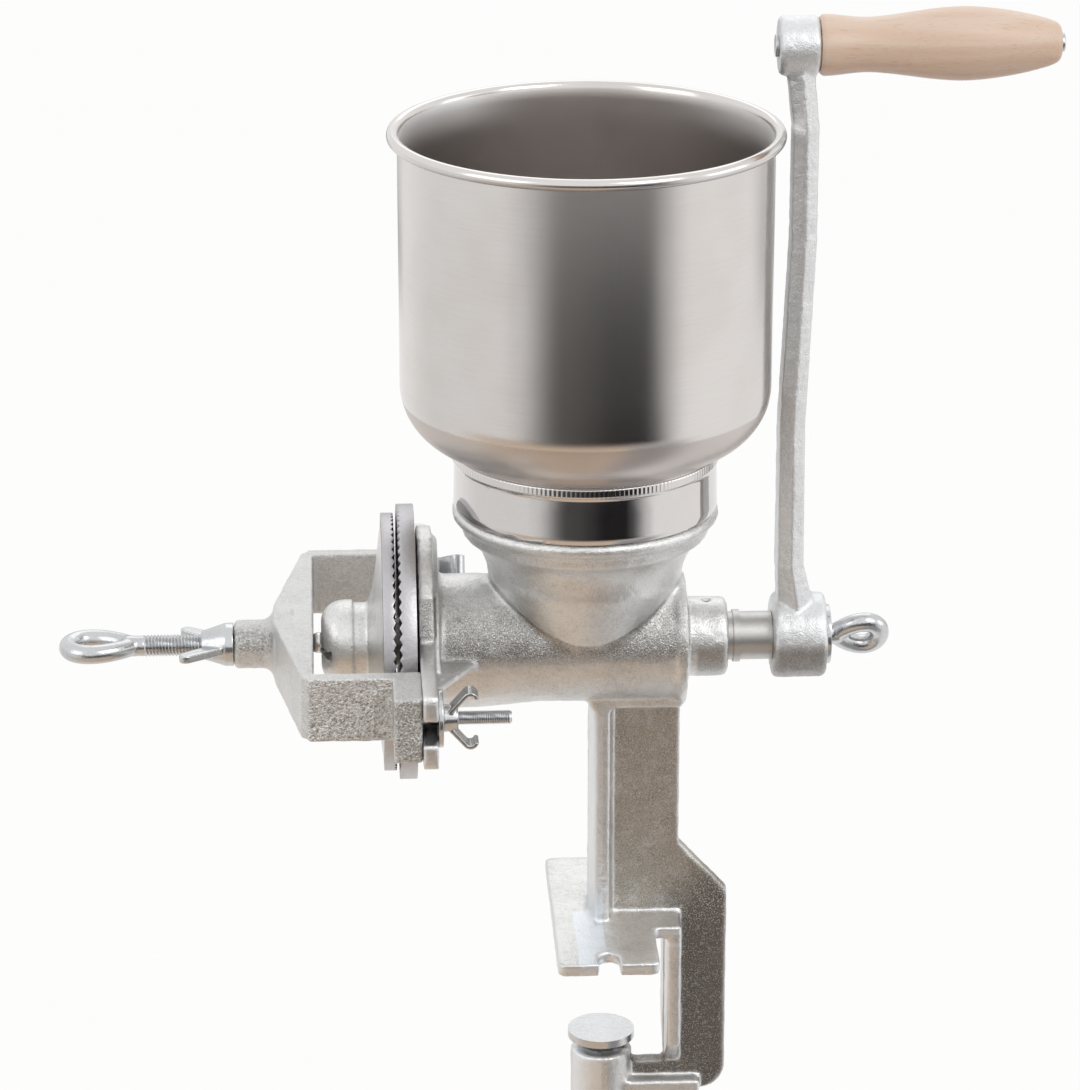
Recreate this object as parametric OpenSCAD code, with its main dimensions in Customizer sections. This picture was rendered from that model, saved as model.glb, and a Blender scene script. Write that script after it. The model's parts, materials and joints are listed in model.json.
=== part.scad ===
// Clamp-on hand mill for small seeds: tinned iron castings, a steel hopper and zinc plated fasteners.
// Origin: on the upper jaw's underside, straight below the hopper's axis. +X runs to the crank, +Z is up.

/* [Casting] */
// Height of the shaft's axis over the jaw's underside
shaft_h = 118; // [112:1:130]
// Radius of the barrel
barrel_r = 23.8; // [22.5:0.1:27]
// Radius of the barrel's bore
bore_r = 18.4; // [17.5:0.1:19]
// Distance from the hopper's axis to the barrel's closed end
barrel_back = 38; // [37:0.5:44]
// Radius of the rear bearing boss
boss_r = 15.2; // [14:0.1:18]
// Length of the rear bearing boss
boss_l = 16; // [12:0.5:20]
// Distance from the hopper's axis to the front of the flange
flange_x = 63.7; // [60:0.1:68]
// Thickness of the flange and its ears
flange_t = 5.8; // [5:0.1:8]
// Radius of the flange
flange_r = 44; // [42:0.5:48]
// Half height of the ears
ear_h = 14.6; // [13:0.1:17]
// Distance from the shaft to the end of an ear
ear_end = 94; // [92:0.5:98]
// Width of the open slot in an ear
slot_w = 8.8; // [7:0.1:10]
// Outer radius of the hopper's seat ring
seat_r = 50.3; // [50:0.1:54]
// Height of the seat over the shaft's axis
seat_z = 55; // [52:0.5:60]
// Radius of the throat's neck under the seat ring
neck_r = 36.8; // [34:0.1:40]

/* [Clamp frame] */
// Thickness of the frame's web
web_t = 6.4; // [5:0.1:9]
// Distance from the hopper's axis to the upper web's outer edge
web_x = 36.6; // [34:0.2:38]
// Distance from the hopper's axis to the lower web's outer edge
frame_x = 55.5; // [52:0.5:62]
// Distance from the hopper's axis to the throat's wall
throat_x = 31.4; // [29:0.2:33]
// Thickness of the throat's wall
throat_t = 5.6; // [5:0.1:7]
// Width of the throat's wall
throat_w = 37; // [30:0.5:44]
// Depth of the frame below the jaw's underside
frame_drop = 72; // [70:0.5:82]
// Height of the lower arm
arm_h = 13; // [11:0.5:16]
// Width of the jaw across the frame
jaw_w = 101; // [90:0.5:110]
// Thickness of the jaw
jaw_t = 5; // [4:0.1:7]
// Distance from the hopper's axis to the jaw's free edge
jaw_free_x = 12.7; // [10:0.1:16]
// Distance from the hopper's axis to the jaw's edge beside the throat
jaw_in_x = 26.4; // [24:0.1:28]
// Width of the notch in the jaw's front edge
notch_w = 7.6; // [6:0.1:10]
// Depth of the notch in the jaw's front edge
notch_d = 11; // [8:0.5:14]
// Distance from the hopper's axis to the clamp screw's axis
clamp_x = 7; // [5:0.2:9]

/* [Hopper] */
// Outer radius of the bucket's wall
bucket_r = 69.2; // [66:0.2:69.4]
// Height of the rim's centre over the shaft's axis
rim_z = 197.4; // [190:0.2:206]
// Radius of the rolled rim's section
bead_r = 2.2; // [1.8:0.1:2.3]
// Thickness of the sheet
sheet_t = 1; // [0.8:0.1:1.4]
// Radius of the bucket's shoulder
shoulder_r = 24; // [20:0.5:28]
// Height of the bucket's foot over the shaft's axis
foot_z = 77.6; // [76:0.2:80]
// Outer radius of the collar
collar_r = 49.7; // [48:0.1:50]
// Depth of the collar's spigot in the seat
spigot_l = 5; // [4:0.5:5.5]

/* [Burrs] */
// Radius of the fixed burr
fixed_burr_r = 52.2; // [50:0.1:54]
// Thickness of the fixed burr
fixed_burr_t = 6.4; // [5.5:0.1:7.5]
// Radius of the turning burr
turning_burr_r = 48.9; // [46:0.1:50]
// Thickness of the turning burr
turning_burr_t = 4.6; // [4.2:0.1:6]
// Gap between the burrs
burr_gap = 1.4; // [1.2:0.1:2.5]
// Number of grooves in each burr
groove_count = 36; // [24:4:44]
// Depth of a groove
groove_d = 1.2; // [0.8:0.1:1.5]
// Radius of the burrs' eye
eye_r = 19.5; // [19:0.1:21]

/* [Carrier] */
// Radius of the carrier's domed end
dome_r = 16.3; // [15.6:0.1:18]
// Length of the domed end
dome_l = 12; // [11:0.1:14]
// Radius of the carrier's neck
hub_neck_r = 15.2; // [14:0.1:15.4]
// Distance from the carrier's domed end to its plate
carrier_l = 23.1; // [22.5:0.1:26]
// Depth of the ball's seat in the domed end
ball_seat = 3.2; // [2.8:0.1:3.6]
// Width of the slot across the domed end
dome_slot_w = 3.8; // [3:0.1:4.4]

/* [Yoke] */
// Half height of the yoke
yoke_h = 12.5; // [11:0.1:14]
// Distance from the shaft to the outside of an arm
yoke_out = 69; // [67:0.2:71]
// Thickness of an arm
yoke_arm_t = 6; // [5:0.1:8]
// Distance from the carrier's domed end to the crossbar
yoke_gap = 3; // [2.7:0.1:4]
// Thickness of the crossbar at its middle
yoke_mid_t = 15; // [13:0.5:18]
// Thickness of the crossbar at its ends
yoke_end_t = 4; // [3.5:0.1:7]
// Radius of the boss for the adjusting screw
yoke_boss_r = 9.2; // [8.5:0.1:11]
// Length of that boss past the crossbar
yoke_boss_l = 15; // [12:0.5:20]
// Thickness of a foot
foot_t = 10.5; // [9:0.5:13]
// Distance from the shaft to the outside of a foot
foot_out = 91; // [88:0.5:94]
// Distance from the outside of a foot to its stud
stud_in = 13; // [11:0.2:14]

/* [Fasteners] */
// Radius of a yoke stud
stud_r = 2.6; // [2.4:0.1:3]
// Length of the front stud behind the ear
stud_free_l = 26.8; // [24:0.2:32]
// Length of the rear stud behind the ear
rear_free_l = 13; // [11:0.2:24]
// Radius of a washer
washer_r = 10.7; // [9.5:0.1:11]
// Thickness of a washer
washer_t = 1.8; // [1.2:0.1:2.2]
// Radius of a wing nut's hub
wing_hub_r = 5.2; // [4.8:0.1:6]
// Length of a wing nut's hub
wing_hub_l = 5.4; // [4.8:0.1:7]
// Reach of a wing from its axis
wing_reach = 10.8; // [10:0.2:12.6]
// Thickness of a wing
wing_t = 1.5; // [1.2:0.1:2.2]
// Width of a wing
wing_w = 8; // [6:0.2:9.4]
// Radius of the adjusting screw
adjust_r = 4.2; // [4.1:0.1:4.6]
// Length of the adjusting screw from its ball to its eye
adjust_l = 66; // [62:0.5:74]
// Radius of the thrust ball
ball_r = 3.95; // [3.6:0.05:4]
// Radius of the large eyes, at the middle of the wire
eye_mid_r = 13.3; // [12:0.1:15]
// Radius of the large eyes' wire
eye_wire_r = 3.5; // [3:0.1:4]
// Length of the lock nut over its wings
lock_l = 20.5; // [18:0.5:22]
// Largest radius of the lock nut's hub
lock_r = 8.2; // [7.5:0.1:9]
// Radius of the clamp screw
clamp_r = 5; // [4.8:0.1:6]
// Thread of the clamp screw below its boss
clamp_free_l = 40; // [38:0.5:50]
// Distance from the jaw to the clamp's pad
clamp_open = 46; // [45:0.5:48]
// Radius of the clamp's pad
pad_r = 13; // [12:0.5:15]
// Thickness of the clamp's pad
pad_t = 6; // [5.5:0.5:7]
// Radius of a burr screw's shank
screw_r = 2; // [1.8:0.1:2.3]
// Radius of a burr screw's head
screw_head_r = 3.8; // [3.5:0.1:4.2]

/* [Crank] */
// Radius of the shaft
shaft_r = 9.2; // [8.8:0.1:10]
// Radius of the feed screw's flight
flight_r = 17.4; // [16.5:0.1:17.5]
// Lead of the feed screw
flight_lead = 30; // [26:1:40]
// Distance from the hopper's axis to the crank's hub
hub_x = 71; // [70.5:0.1:74]
// Radius of the crank's hub
hub_r = 16.25; // [15.2:0.05:18]
// Length of the crank's hub
hub_l = 20.4; // [18:0.1:24]
// Width of the square on the shaft's ends
tang_w = 11.5; // [10.5:0.1:12]
// Distance from the shaft to the grip's axis
throw = 229.5; // [222:0.5:240]
// Thickness of the arm along the shaft
crank_t = 9.7; // [8:0.1:10]
// Width of the arm at the hub
crank_w = 21; // [19:0.5:24]
// Width of the arm at the grip
crank_tip_w = 16; // [14:0.5:19]
// Distance from the hopper's rim to the arm
rim_clear = 1.7; // [1.5:0.1:4]
// Radius of the boss that holds the grip
tip_r = 11; // [10.2:0.1:12]
// Length of the boss that holds the grip
tip_l = 15; // [13:0.5:17]
// Length of the grip
grip_l = 88.4; // [80:0.2:100]
// Largest radius of the grip
grip_r = 13.5; // [12.5:0.1:15]
// Radius of the crank's washer
crank_washer_r = 11.3; // [9.5:0.1:12]
// Radius of the grip's bolt
grip_bolt_r = 3; // [2.6:0.1:3.2]
// Radius of the small eye, at the middle of the wire
small_eye_r = 8.2; // [7.8:0.1:9.5]
// Radius of the small eye's wire
small_wire_r = 2.8; // [2.4:0.1:3]
// Radius of the crank's eye screw
crank_screw_r = 3.2; // [3.1:0.1:3.6]

/* [Hidden] */
$fn = 96;

// Clearances and the overrun of every cut
run_fit = 0.06;
thrust_gap = 0.1;
seat_gap = 0.05;
over = 1;
// Draft, rounding and small wall sizes of the castings
seat_bead = 5.6;
seat_step = 0.8;
seat_pad_r = 38;
step_r = 40.5;
step_t = 2.2;
end_bead_r = 25;
end_bead_l = 4;
round_r = 3;
ear_round = 2.6;
gusset_t = 3.2;
gusset_x = 40.6;
gusset_y = 54;
rib_t = 10;
rib_edge_t = 6;
rib_w = 26;
rib_x = 1.2;
corner_r = 10;
clamp_boss_r = 12;
clamp_boss_l = 24;
clamp_arm_w = 18;
mouth_wall = 4.3;
throat_wall = 5;
diagonal_top = 34;
diagonal_bottom = 13.5;
boss_chamfer = 1.2;
boss_fillet = 4.4;
barrel_flare = 1.8;
flare_r = 20;
oil_r = 1.6;
// Slope of the bucket's foot, and the angles of the arcs in the castings
foot_slope = 30;
throat_turn = 122;
rear_nut_turn = 60;
dome_turn = 84;

// Places along the shaft, measured from the hopper's axis
burr_back = -flange_x - seat_step;
fixed_face = burr_back - fixed_burr_t;
turning_face = fixed_face - burr_gap;
carrier_face = turning_face - turning_burr_t;
dome_x = carrier_face - carrier_l;
bar_x = dome_x - yoke_gap;
yoke_end = bar_x - yoke_mid_t - yoke_boss_l;
ear_back = -flange_x + flange_t;
boss_end = barrel_back + boss_l;
hub_end = hub_x + hub_l;
tang_x = dome_x + ball_seat * 2;
ball_x = dome_x + ball_seat - ball_r - thrust_gap;
adjust_tip = ball_x - ball_r - thrust_gap;

// Distance from the shaft to a stud
stud_y = foot_out - stud_in;

// Places up the hopper, measured from the shaft's axis
rim_r = bucket_r + bead_r;
shoulder_z = foot_z + (bucket_r - collar_r - shoulder_r * (1 - sin(foot_slope))) * tan(foot_slope)
    + shoulder_r * cos(foot_slope);
spigot_r = seat_r - mouth_wall - run_fit;

// Points of an arc, from its centre, its radius and its two angles
function arc(cx, cy, r, from, to, steps = 8) =
    [for (i = [0:steps]) let(a = from + (to - from) * i / steps) [cx + r * cos(a), cy + r * sin(a)]];

// Turns what it holds so that its Z axis lies along the shaft, x from the hopper's axis
module on_shaft(x) {
    translate([x, 0, shaft_h])
        rotate([0, 90, 0])
            children();
}

// A solid of revolution about the shaft, from points of radius and place
module turned(points) {
    on_shaft(0)
        rotate_extrude()
            polygon(points);
}

// A solid of revolution about the hopper's axis
module upright(points) {
    translate([0, 0, shaft_h])
        rotate_extrude()
            polygon(points);
}

// A slab of a side outline in X and Z, centred on the web
module side_slab(width) {
    translate([0, width / 2, 0])
        rotate([90, 0, 0])
            linear_extrude(width)
                children();
}

// A slab of an outline in Y and Z, which starts at x and runs along +X
module cross_slab(x, length) {
    translate([x, 0, 0])
        rotate([90, 0, 90])
            linear_extrude(length)
                children();
}

// Throat of the casting: the outer skin, and the hollow inside it
module throat_skin() {
    upright(concat(
        [[0, 0], [barrel_r - over, 0]],
        arc(neck_r + flare_r, seat_z / 2, flare_r, 180, throat_turn),
        arc(seat_r - seat_bead / 2, seat_z - seat_bead / 2, seat_bead / 2, -90, 90),
        [[0, seat_z]]));
}

module throat_hollow() {
    upright([[0, 0], [bore_r - over, 0], [neck_r - throat_wall - over, seat_z / 2],
        [seat_r - mouth_wall, seat_z - spigot_l - seat_step], [seat_r - mouth_wall, seat_z + over],
        [0, seat_z + over]]);
}

// Ear of the flange, with its rounded end
module ear_outline() {
    hull() {
        translate([flange_r / 2, -ear_h])
            square([ear_round, ear_h * 2]);
        for (s = [-1, 1])
            translate([ear_end - ear_round, s * (ear_h - ear_round)])
                circle(ear_round, $fn = 32);
    }
}

module ears() {
    for (s = [-1, 1])
        translate([0, 0, shaft_h])
            cross_slab(-flange_x, flange_t)
                difference() {
                    scale([s, 1])
                        ear_outline();
                    translate([s * stud_y, 0])
                        circle(slot_w / 2);
                    translate([s * stud_y - (s < 0 ? ear_end : 0), -slot_w / 2])
                        square([ear_end, slot_w]);
                }
}

// Horizontal gussets between the ears and the barrel
module gussets() {
    for (s = [-1, 1])
        translate([0, 0, shaft_h - gusset_t / 2])
            linear_extrude(gusset_t)
                polygon([[ear_back - over, s * barrel_r / 2], [-gusset_x, s * barrel_r / 2],
                    [-gusset_x, s * barrel_r], [ear_back, s * gusset_y], [ear_back - over, s * gusset_y]]);
}

// Outline of the frame: the upper web, the throat's back and the lower arm
module web_outline() {
    polygon(concat(
        [[rib_x + rib_t / 2, shaft_h - barrel_r / 2], [web_x, shaft_h - barrel_r / 2],
            [web_x, diagonal_top], [frame_x, diagonal_bottom]],
        arc(frame_x - corner_r, corner_r - frame_drop, corner_r, 0, -90),
        [[clamp_x, -frame_drop], [clamp_x, arm_h - frame_drop]],
        [[throat_x + throat_t / 2, arm_h - frame_drop], [throat_x + throat_t / 2, jaw_t / 2],
            [rib_x + rib_t / 2, jaw_t / 2]]));
}

module jaw_outline() {
    difference() {
        offset(r = round_r)
            offset(delta = -round_r)
                union() {
                    translate([-jaw_free_x, -jaw_w / 2])
                        square([jaw_free_x + jaw_in_x, jaw_w]);
                    translate([-jaw_free_x, -throat_w / 2])
                        square([jaw_free_x + throat_x + throat_t, throat_w]);
                }
        translate([clamp_x - notch_w / 2, -jaw_w / 2 - over])
            square([notch_w, notch_d - notch_w / 2 + over]);
        translate([clamp_x, notch_d - notch_w / 2 - jaw_w / 2])
            circle(notch_w / 2);
    }
}

module clamp_frame() {
    side_slab(web_t)
        web_outline();
    linear_extrude(jaw_t)
        jaw_outline();
    // Rib of the upper web, with drafted edges
    translate([rib_x + rib_t / 2, 0, jaw_t / 2])
        linear_extrude(shaft_h - barrel_r / 2 - jaw_t / 2)
            polygon([[-rib_edge_t / 2, -rib_w / 2], [rib_edge_t / 2, -rib_w / 2], [rib_t / 2, 0],
                [rib_edge_t / 2, rib_w / 2], [-rib_edge_t / 2, rib_w / 2], [-rib_t / 2, 0]]);
    // Wall of the throat, which fades into the web
    cross_slab(throat_x, throat_t)
        polygon([[-throat_w / 2, jaw_t], [throat_w / 2, jaw_t],
            [throat_w / 2, arm_h * 2 - frame_drop], [web_t / 2, arm_h - frame_drop],
            [-web_t / 2, arm_h - frame_drop], [-throat_w / 2, arm_h * 2 - frame_drop]]);
    // Flange of the lower arm and the boss of the clamp screw
    translate([clamp_x, -clamp_arm_w / 2, -frame_drop])
        cube([frame_x - corner_r - clamp_x, clamp_arm_w, web_t]);
    translate([clamp_x, 0, arm_h / 2 - frame_drop - clamp_boss_l / 2])
        cylinder(r = clamp_boss_r, h = clamp_boss_l);
    // Pad under the barrel
    translate([rib_x, -rib_w / 2, shaft_h - barrel_r - seat_step])
        cube([web_x - rib_x, rib_w, barrel_r / 2]);
}

module burr_holes(x, r, length) {
    for (i = [0:2])
        on_shaft(x)
            rotate([0, 0, 60 + i * 120])
                translate([(seat_pad_r + eye_r) / 2, 0, 0])
                    cylinder(r = r, h = length);
}

module mill_body() {
    color("lightgray")
        difference() {
            union() {
                turned([[0, ear_back], [barrel_r + barrel_flare, ear_back],
                    [barrel_r + barrel_flare, -gusset_x], [barrel_r, -neck_r / 2],
                    [barrel_r, barrel_back], [0, barrel_back]]);
                on_shaft(barrel_back - end_bead_l)
                    cylinder(r = end_bead_r, h = end_bead_l);
                turned([[0, barrel_back - over], [boss_r, barrel_back - over],
                    [boss_r, boss_end - boss_chamfer], [boss_r - boss_chamfer, boss_end], [0, boss_end]]);
                turned([[0, -flange_x - seat_step], [seat_pad_r, -flange_x - seat_step],
                    [seat_pad_r, -flange_x], [flange_r, -flange_x], [flange_r, ear_back],
                    [step_r, ear_back], [step_r - step_t / 2, ear_back + step_t], [0, ear_back + step_t]]);
                ears();
                gussets();
                throat_skin();
                clamp_frame();
            }
            throat_hollow();
            on_shaft(-flange_x - seat_step - over)
                cylinder(r = bore_r, h = flange_x + seat_step + over + barrel_back - throat_wall);
            on_shaft(0)
                cylinder(r = shaft_r + run_fit, h = boss_end + over);
            burr_holes(-flange_x - seat_step - over, screw_r, flange_t + over);
            translate([clamp_x, 0, -frame_drop - clamp_boss_l])
                cylinder(r = clamp_r + run_fit, h = clamp_boss_l * 2);
            // Oil hole over the rear bearing
            translate([barrel_back + boss_l / 2, 0, shaft_h])
                cylinder(r = oil_r, h = boss_r + over, $fn = 32);
        }
}

// Radial grooves of a burr, cut into a face at x; side is -1 or 1, the way the face looks
module grooves(x, side, r_out) {
    for (i = [0:groove_count - 1])
        on_shaft(x)
            rotate([0, 0, i * 360 / groove_count])
                translate([(eye_r + r_out) / 2, 0, 0])
                    rotate([90, 0, 90])
                        linear_extrude((r_out - eye_r) / 2 + over)
                            polygon([[-groove_d * 1.5, side * over / 2], [0, -side * groove_d],
                                [groove_d * 1.5, side * over / 2]]);
}

module countersunk_holes(x, length, side) {
    burr_holes(x, screw_r + run_fit, length);
    for (i = [0:2])
        on_shaft(side < 0 ? x : x + length)
            rotate([0, 0, 60 + i * 120])
                translate([(seat_pad_r + eye_r) / 2, 0, 0])
                    scale([1, 1, -side])
                        cylinder(r1 = screw_head_r + run_fit * 2, r2 = screw_r + run_fit * 2,
                            h = screw_head_r - screw_r);
}

// Flat headed screws on a circle; side is the way their heads look
module countersunk_screws(x, length, side) {
    for (i = [0:2])
        on_shaft(x)
            rotate([0, 0, 60 + i * 120])
                translate([(seat_pad_r + eye_r) / 2, 0, 0])
                    scale([1, 1, -side]) {
                        cylinder(r1 = screw_head_r, r2 = screw_r, h = screw_head_r - screw_r);
                        cylinder(r = screw_r - run_fit, h = length);
                    }
}

module stationary_burr() {
    color("silver")
        difference() {
            turned([[eye_r, fixed_face + groove_d * 2], [eye_r + groove_d * 4, fixed_face],
                [fixed_burr_r - seat_gap, fixed_face], [fixed_burr_r, fixed_face + seat_gap],
                [fixed_burr_r, burr_back], [eye_r, burr_back]]);
            grooves(fixed_face, -1, fixed_burr_r);
            countersunk_holes(fixed_face, fixed_burr_t + over, -1);
        }
}

module burr_screws() {
    color("dimgray")
        countersunk_screws(fixed_face + seat_gap, fixed_burr_t + flange_t / 2, -1);
}

module rotating_burr() {
    color("silver")
        difference() {
            turned([[tang_w * 0.8, carrier_face], [turning_burr_r, carrier_face],
                [turning_burr_r, turning_face], [eye_r + groove_d * 4, turning_face],
                [tang_w * 0.8, turning_face - groove_d * 2]]);
            grooves(turning_face, 1, turning_burr_r);
            countersunk_holes(carrier_face - over, turning_burr_t + over, 1);
        }
}

module carrier_screws() {
    color("dimgray")
        countersunk_screws(turning_face - seat_gap, turning_burr_t + groove_d - seat_gap * 2, 1);
}

module square_tang(x, length, width) {
    on_shaft(x)
        translate([-width / 2, -width / 2, 0])
            cube([width, width, length]);
}

module burr_carrier() {
    flare = (carrier_l - dome_l) / 2;
    edge_r = turning_burr_r - round_r / 2;
    color("gainsboro")
        difference() {
            turned(concat(
                [[0, dome_x], [dome_r / 2, dome_x]],
                arc(dome_r / 2, dome_x + dome_l * 2 / 3, dome_l * 2 / 3, -dome_turn, 0),
                [[dome_r, dome_x + dome_l * 3 / 4], [dome_r, dome_x + dome_l], [hub_neck_r, dome_x + dome_l],
                    [hub_neck_r, dome_x + dome_l + flare]],
                [for (t = [1:6]) [hub_neck_r + (edge_r - hub_neck_r) * t / 6,
                    dome_x + dome_l + flare + flare * pow(t / 6, 0.58)]],
                [[0, carrier_face]]));
            square_tang(tang_x, carrier_l + over, tang_w + run_fit * 2);
            on_shaft(dome_x - over)
                cylinder(r = ball_r + seat_step, h = ball_seat + over);
            burr_holes(carrier_face - groove_d - run_fit, screw_r, groove_d + over);
            // Slot across the domed end
            translate([dome_x - over, -dome_r, shaft_h - dome_slot_w / 2])
                cube([ball_seat + over + seat_step, dome_r * 2, dome_slot_w]);
        }
}

// One turning shaft: a square at each end, the feed screw, and the journal in the rear boss
module auger_shaft() {
    front = -flange_x + flange_t;
    flight_end = barrel_back - throat_wall - step_t * 2;
    color("darkgray")
        difference() {
            union() {
                square_tang(tang_x + run_fit, carrier_face - tang_x, tang_w);
                on_shaft(carrier_face + run_fit)
                    cylinder(r = tang_w * 0.78, h = front - carrier_face);
                on_shaft(front)
                    cylinder(r = shaft_r, h = hub_x - front - run_fit);
                on_shaft(boss_end + step_t)
                    cylinder(r = shaft_r + seat_step, h = step_t + seat_step / 2);
                square_tang(hub_x - over, hub_l + over - seat_step, tang_w);
                on_shaft(front)
                    linear_extrude(flight_end - front, twist = 360 * (flight_end - front) / flight_lead,
                        slices = 54, convexity = 6, $fn = 8)
                        translate([0, -shaft_r / 3])
                            square([flight_r, shaft_r * 2 / 3]);
            }
            on_shaft(hub_x)
                cylinder(r = crank_screw_r + run_fit, h = hub_l + over);
        }
}

// Plan of the yoke: a crossbar that thins towards its ends, two arms and two feet
module yoke_plan() {
    foot_x = -flange_x - foot_t;
    difference() {
        offset(r = round_r / 2)
            offset(delta = -round_r / 2)
                polygon([[bar_x - yoke_mid_t, -yoke_boss_r], [bar_x - yoke_end_t, -yoke_out],
                    [foot_x, -yoke_out], [foot_x, -foot_out], [-flange_x, -foot_out],
                    [-flange_x, foot_out], [foot_x, foot_out], [foot_x, yoke_out],
                    [bar_x - yoke_end_t, yoke_out], [bar_x - yoke_mid_t, yoke_boss_r]]);
        translate([bar_x, -yoke_out + yoke_arm_t])
            square([-bar_x, (yoke_out - yoke_arm_t) * 2]);
    }
}

module yoke() {
    color("gainsboro")
        difference() {
            union() {
                translate([0, 0, shaft_h - yoke_h])
                    linear_extrude(yoke_h * 2)
                        yoke_plan();
                turned(concat(
                    [[0, yoke_end], [yoke_boss_r - boss_chamfer, yoke_end],
                        [yoke_boss_r, yoke_end + boss_chamfer]],
                    arc(yoke_boss_r + boss_fillet, bar_x - yoke_mid_t - boss_fillet, boss_fillet, 180, 90),
                    [[yoke_boss_r + boss_fillet, bar_x - yoke_end_t * 2], [0, bar_x - yoke_end_t]]));
            }
            on_shaft(yoke_end - over)
                cylinder(r = adjust_r + run_fit, h = bar_x - yoke_end + over * 2);
            for (s = [-1, 1])
                translate([-flange_x - foot_t - over, s * stud_y, shaft_h])
                    rotate([0, 90, 0])
                        cylinder(r = stud_r, h = foot_t + over * 2);
            // Shallow scallop down the outside of each corner
            for (s = [-1, 1])
                translate([bar_x - yoke_end_t - step_t, s * yoke_out, shaft_h - yoke_h - over])
                    cylinder(r = yoke_end_t, h = (yoke_h + over) * 2, $fn = 48);
        }
}

module yoke_stud(side, free_l) {
    color("lightsteelblue")
        translate([-flange_x - foot_t, side * stud_y, shaft_h])
            rotate([0, 90, 0])
                cylinder(r = stud_r, h = foot_t + flange_t + free_l);
}

module yoke_stud_front() {
    yoke_stud(-1, stud_free_l);
}

module yoke_stud_rear() {
    yoke_stud(1, rear_free_l);
}

module washer(x, y, r, hole) {
    color("lightsteelblue")
        translate([x, y, shaft_h])
            rotate([0, 90, 0])
                difference() {
                    cylinder(r = r, h = washer_t);
                    translate([0, 0, -over])
                        cylinder(r = hole, h = washer_t + over * 2);
                }
}

module washer_front() {
    washer(ear_back + seat_gap, -stud_y, washer_r, stud_r + run_fit);
}

module washer_rear() {
    washer(ear_back + seat_gap, stud_y, washer_r, stud_r + run_fit);
}

// Outline of a folded wing: its outer line, and an inner line a thickness away
function wing_outline() =
    let(rows = [[0.14, 0.3, 0.72, -0.7], [0.72, 0.96, 0.5, -0.88], [0.84, 1.02, 0, -1],
        [0.98, 1.02, -0.2, -1], [1.1, 0.95, -0.6, -0.8], [1.2, 0.8, -1, -0.3]])
    concat([for (row = rows) [row[0], row[1]] * wing_reach],
        [for (i = [5:-1:0]) [rows[i][0] * wing_reach + rows[i][2] * wing_t,
            rows[i][1] * wing_reach + rows[i][3] * wing_t]]);

// A wing nut that faces +X: a tapered hub and two folded wings that lean away from the washer
module wing_nut(x, y, turn) {
    color("lightsteelblue")
        translate([x, y, shaft_h])
            rotate([turn, 0, 0])
                difference() {
                    union() {
                        rotate([0, 90, 0])
                            cylinder(r1 = wing_hub_r, r2 = wing_hub_r * 0.86, h = wing_hub_l);
                        for (s = [-1, 1])
                            scale([1, 1, s])
                                side_slab(wing_w)
                                    polygon(wing_outline());
                    }
                    translate([-over, 0, 0])
                        rotate([0, 90, 0])
                            cylinder(r = stud_r + run_fit, h = wing_hub_l * 3);
                }
}

module wing_nut_front() {
    wing_nut(ear_back + seat_gap * 2 + washer_t, -stud_y, 0);
}

module wing_nut_rear() {
    wing_nut(ear_back + seat_gap * 2 + washer_t, stud_y, rear_nut_turn);
}

module thrust_ball() {
    color("silver")
        translate([ball_x, 0, shaft_h])
            sphere(ball_r);
}

module adjusting_screw() {
    color("lightsteelblue") {
        on_shaft(adjust_tip - adjust_l)
            cylinder(r = adjust_r, h = adjust_l);
        translate([adjust_tip - adjust_l - eye_mid_r + eye_wire_r / 2, 0, shaft_h])
            rotate_extrude()
                translate([eye_mid_r, 0])
                    circle(eye_wire_r, $fn = 32);
    }
}

// Lock nut: a conical hub and two wings that sweep back past it
module lock_nut() {
    cone_l = lock_l * 0.6;
    tip = lock_l / 8;
    color("lightsteelblue")
        difference() {
            union() {
                turned([[0, yoke_end - cone_l], [lock_r * 0.64, yoke_end - cone_l],
                    [lock_r, yoke_end - cone_l / 4], [lock_r, yoke_end - seat_gap],
                    [0, yoke_end - seat_gap]]);
                for (s = [-1, 1])
                    translate([yoke_end, 0, shaft_h - wing_t])
                        linear_extrude(wing_t * 2)
                            hull() {
                                translate([-cone_l * 0.45, s * lock_r * 0.6])
                                    circle(cone_l / 4, $fn = 32);
                                translate([tip - lock_l, s * lock_r * 1.65])
                                    circle(tip, $fn = 32);
                            }
            }
            on_shaft(yoke_end - lock_l - over)
                cylinder(r = adjust_r + run_fit, h = lock_l + over * 2);
        }
}

// One section of the crank's arm: six sided, with a ridge front and rear
module arm_section(share, x, thickness) {
    width = crank_w + (crank_tip_w - crank_w) * share;
    translate([x, 0, shaft_h + throw * share])
        linear_extrude(seat_step)
            polygon([[-thickness / 2, -width / 2 + thickness / 3], [0, -width / 2],
                [thickness / 2, -width / 2 + thickness / 3], [thickness / 2, width / 2 - thickness / 3],
                [0, width / 2], [-thickness / 2, width / 2 - thickness / 3]]);
}

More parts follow.
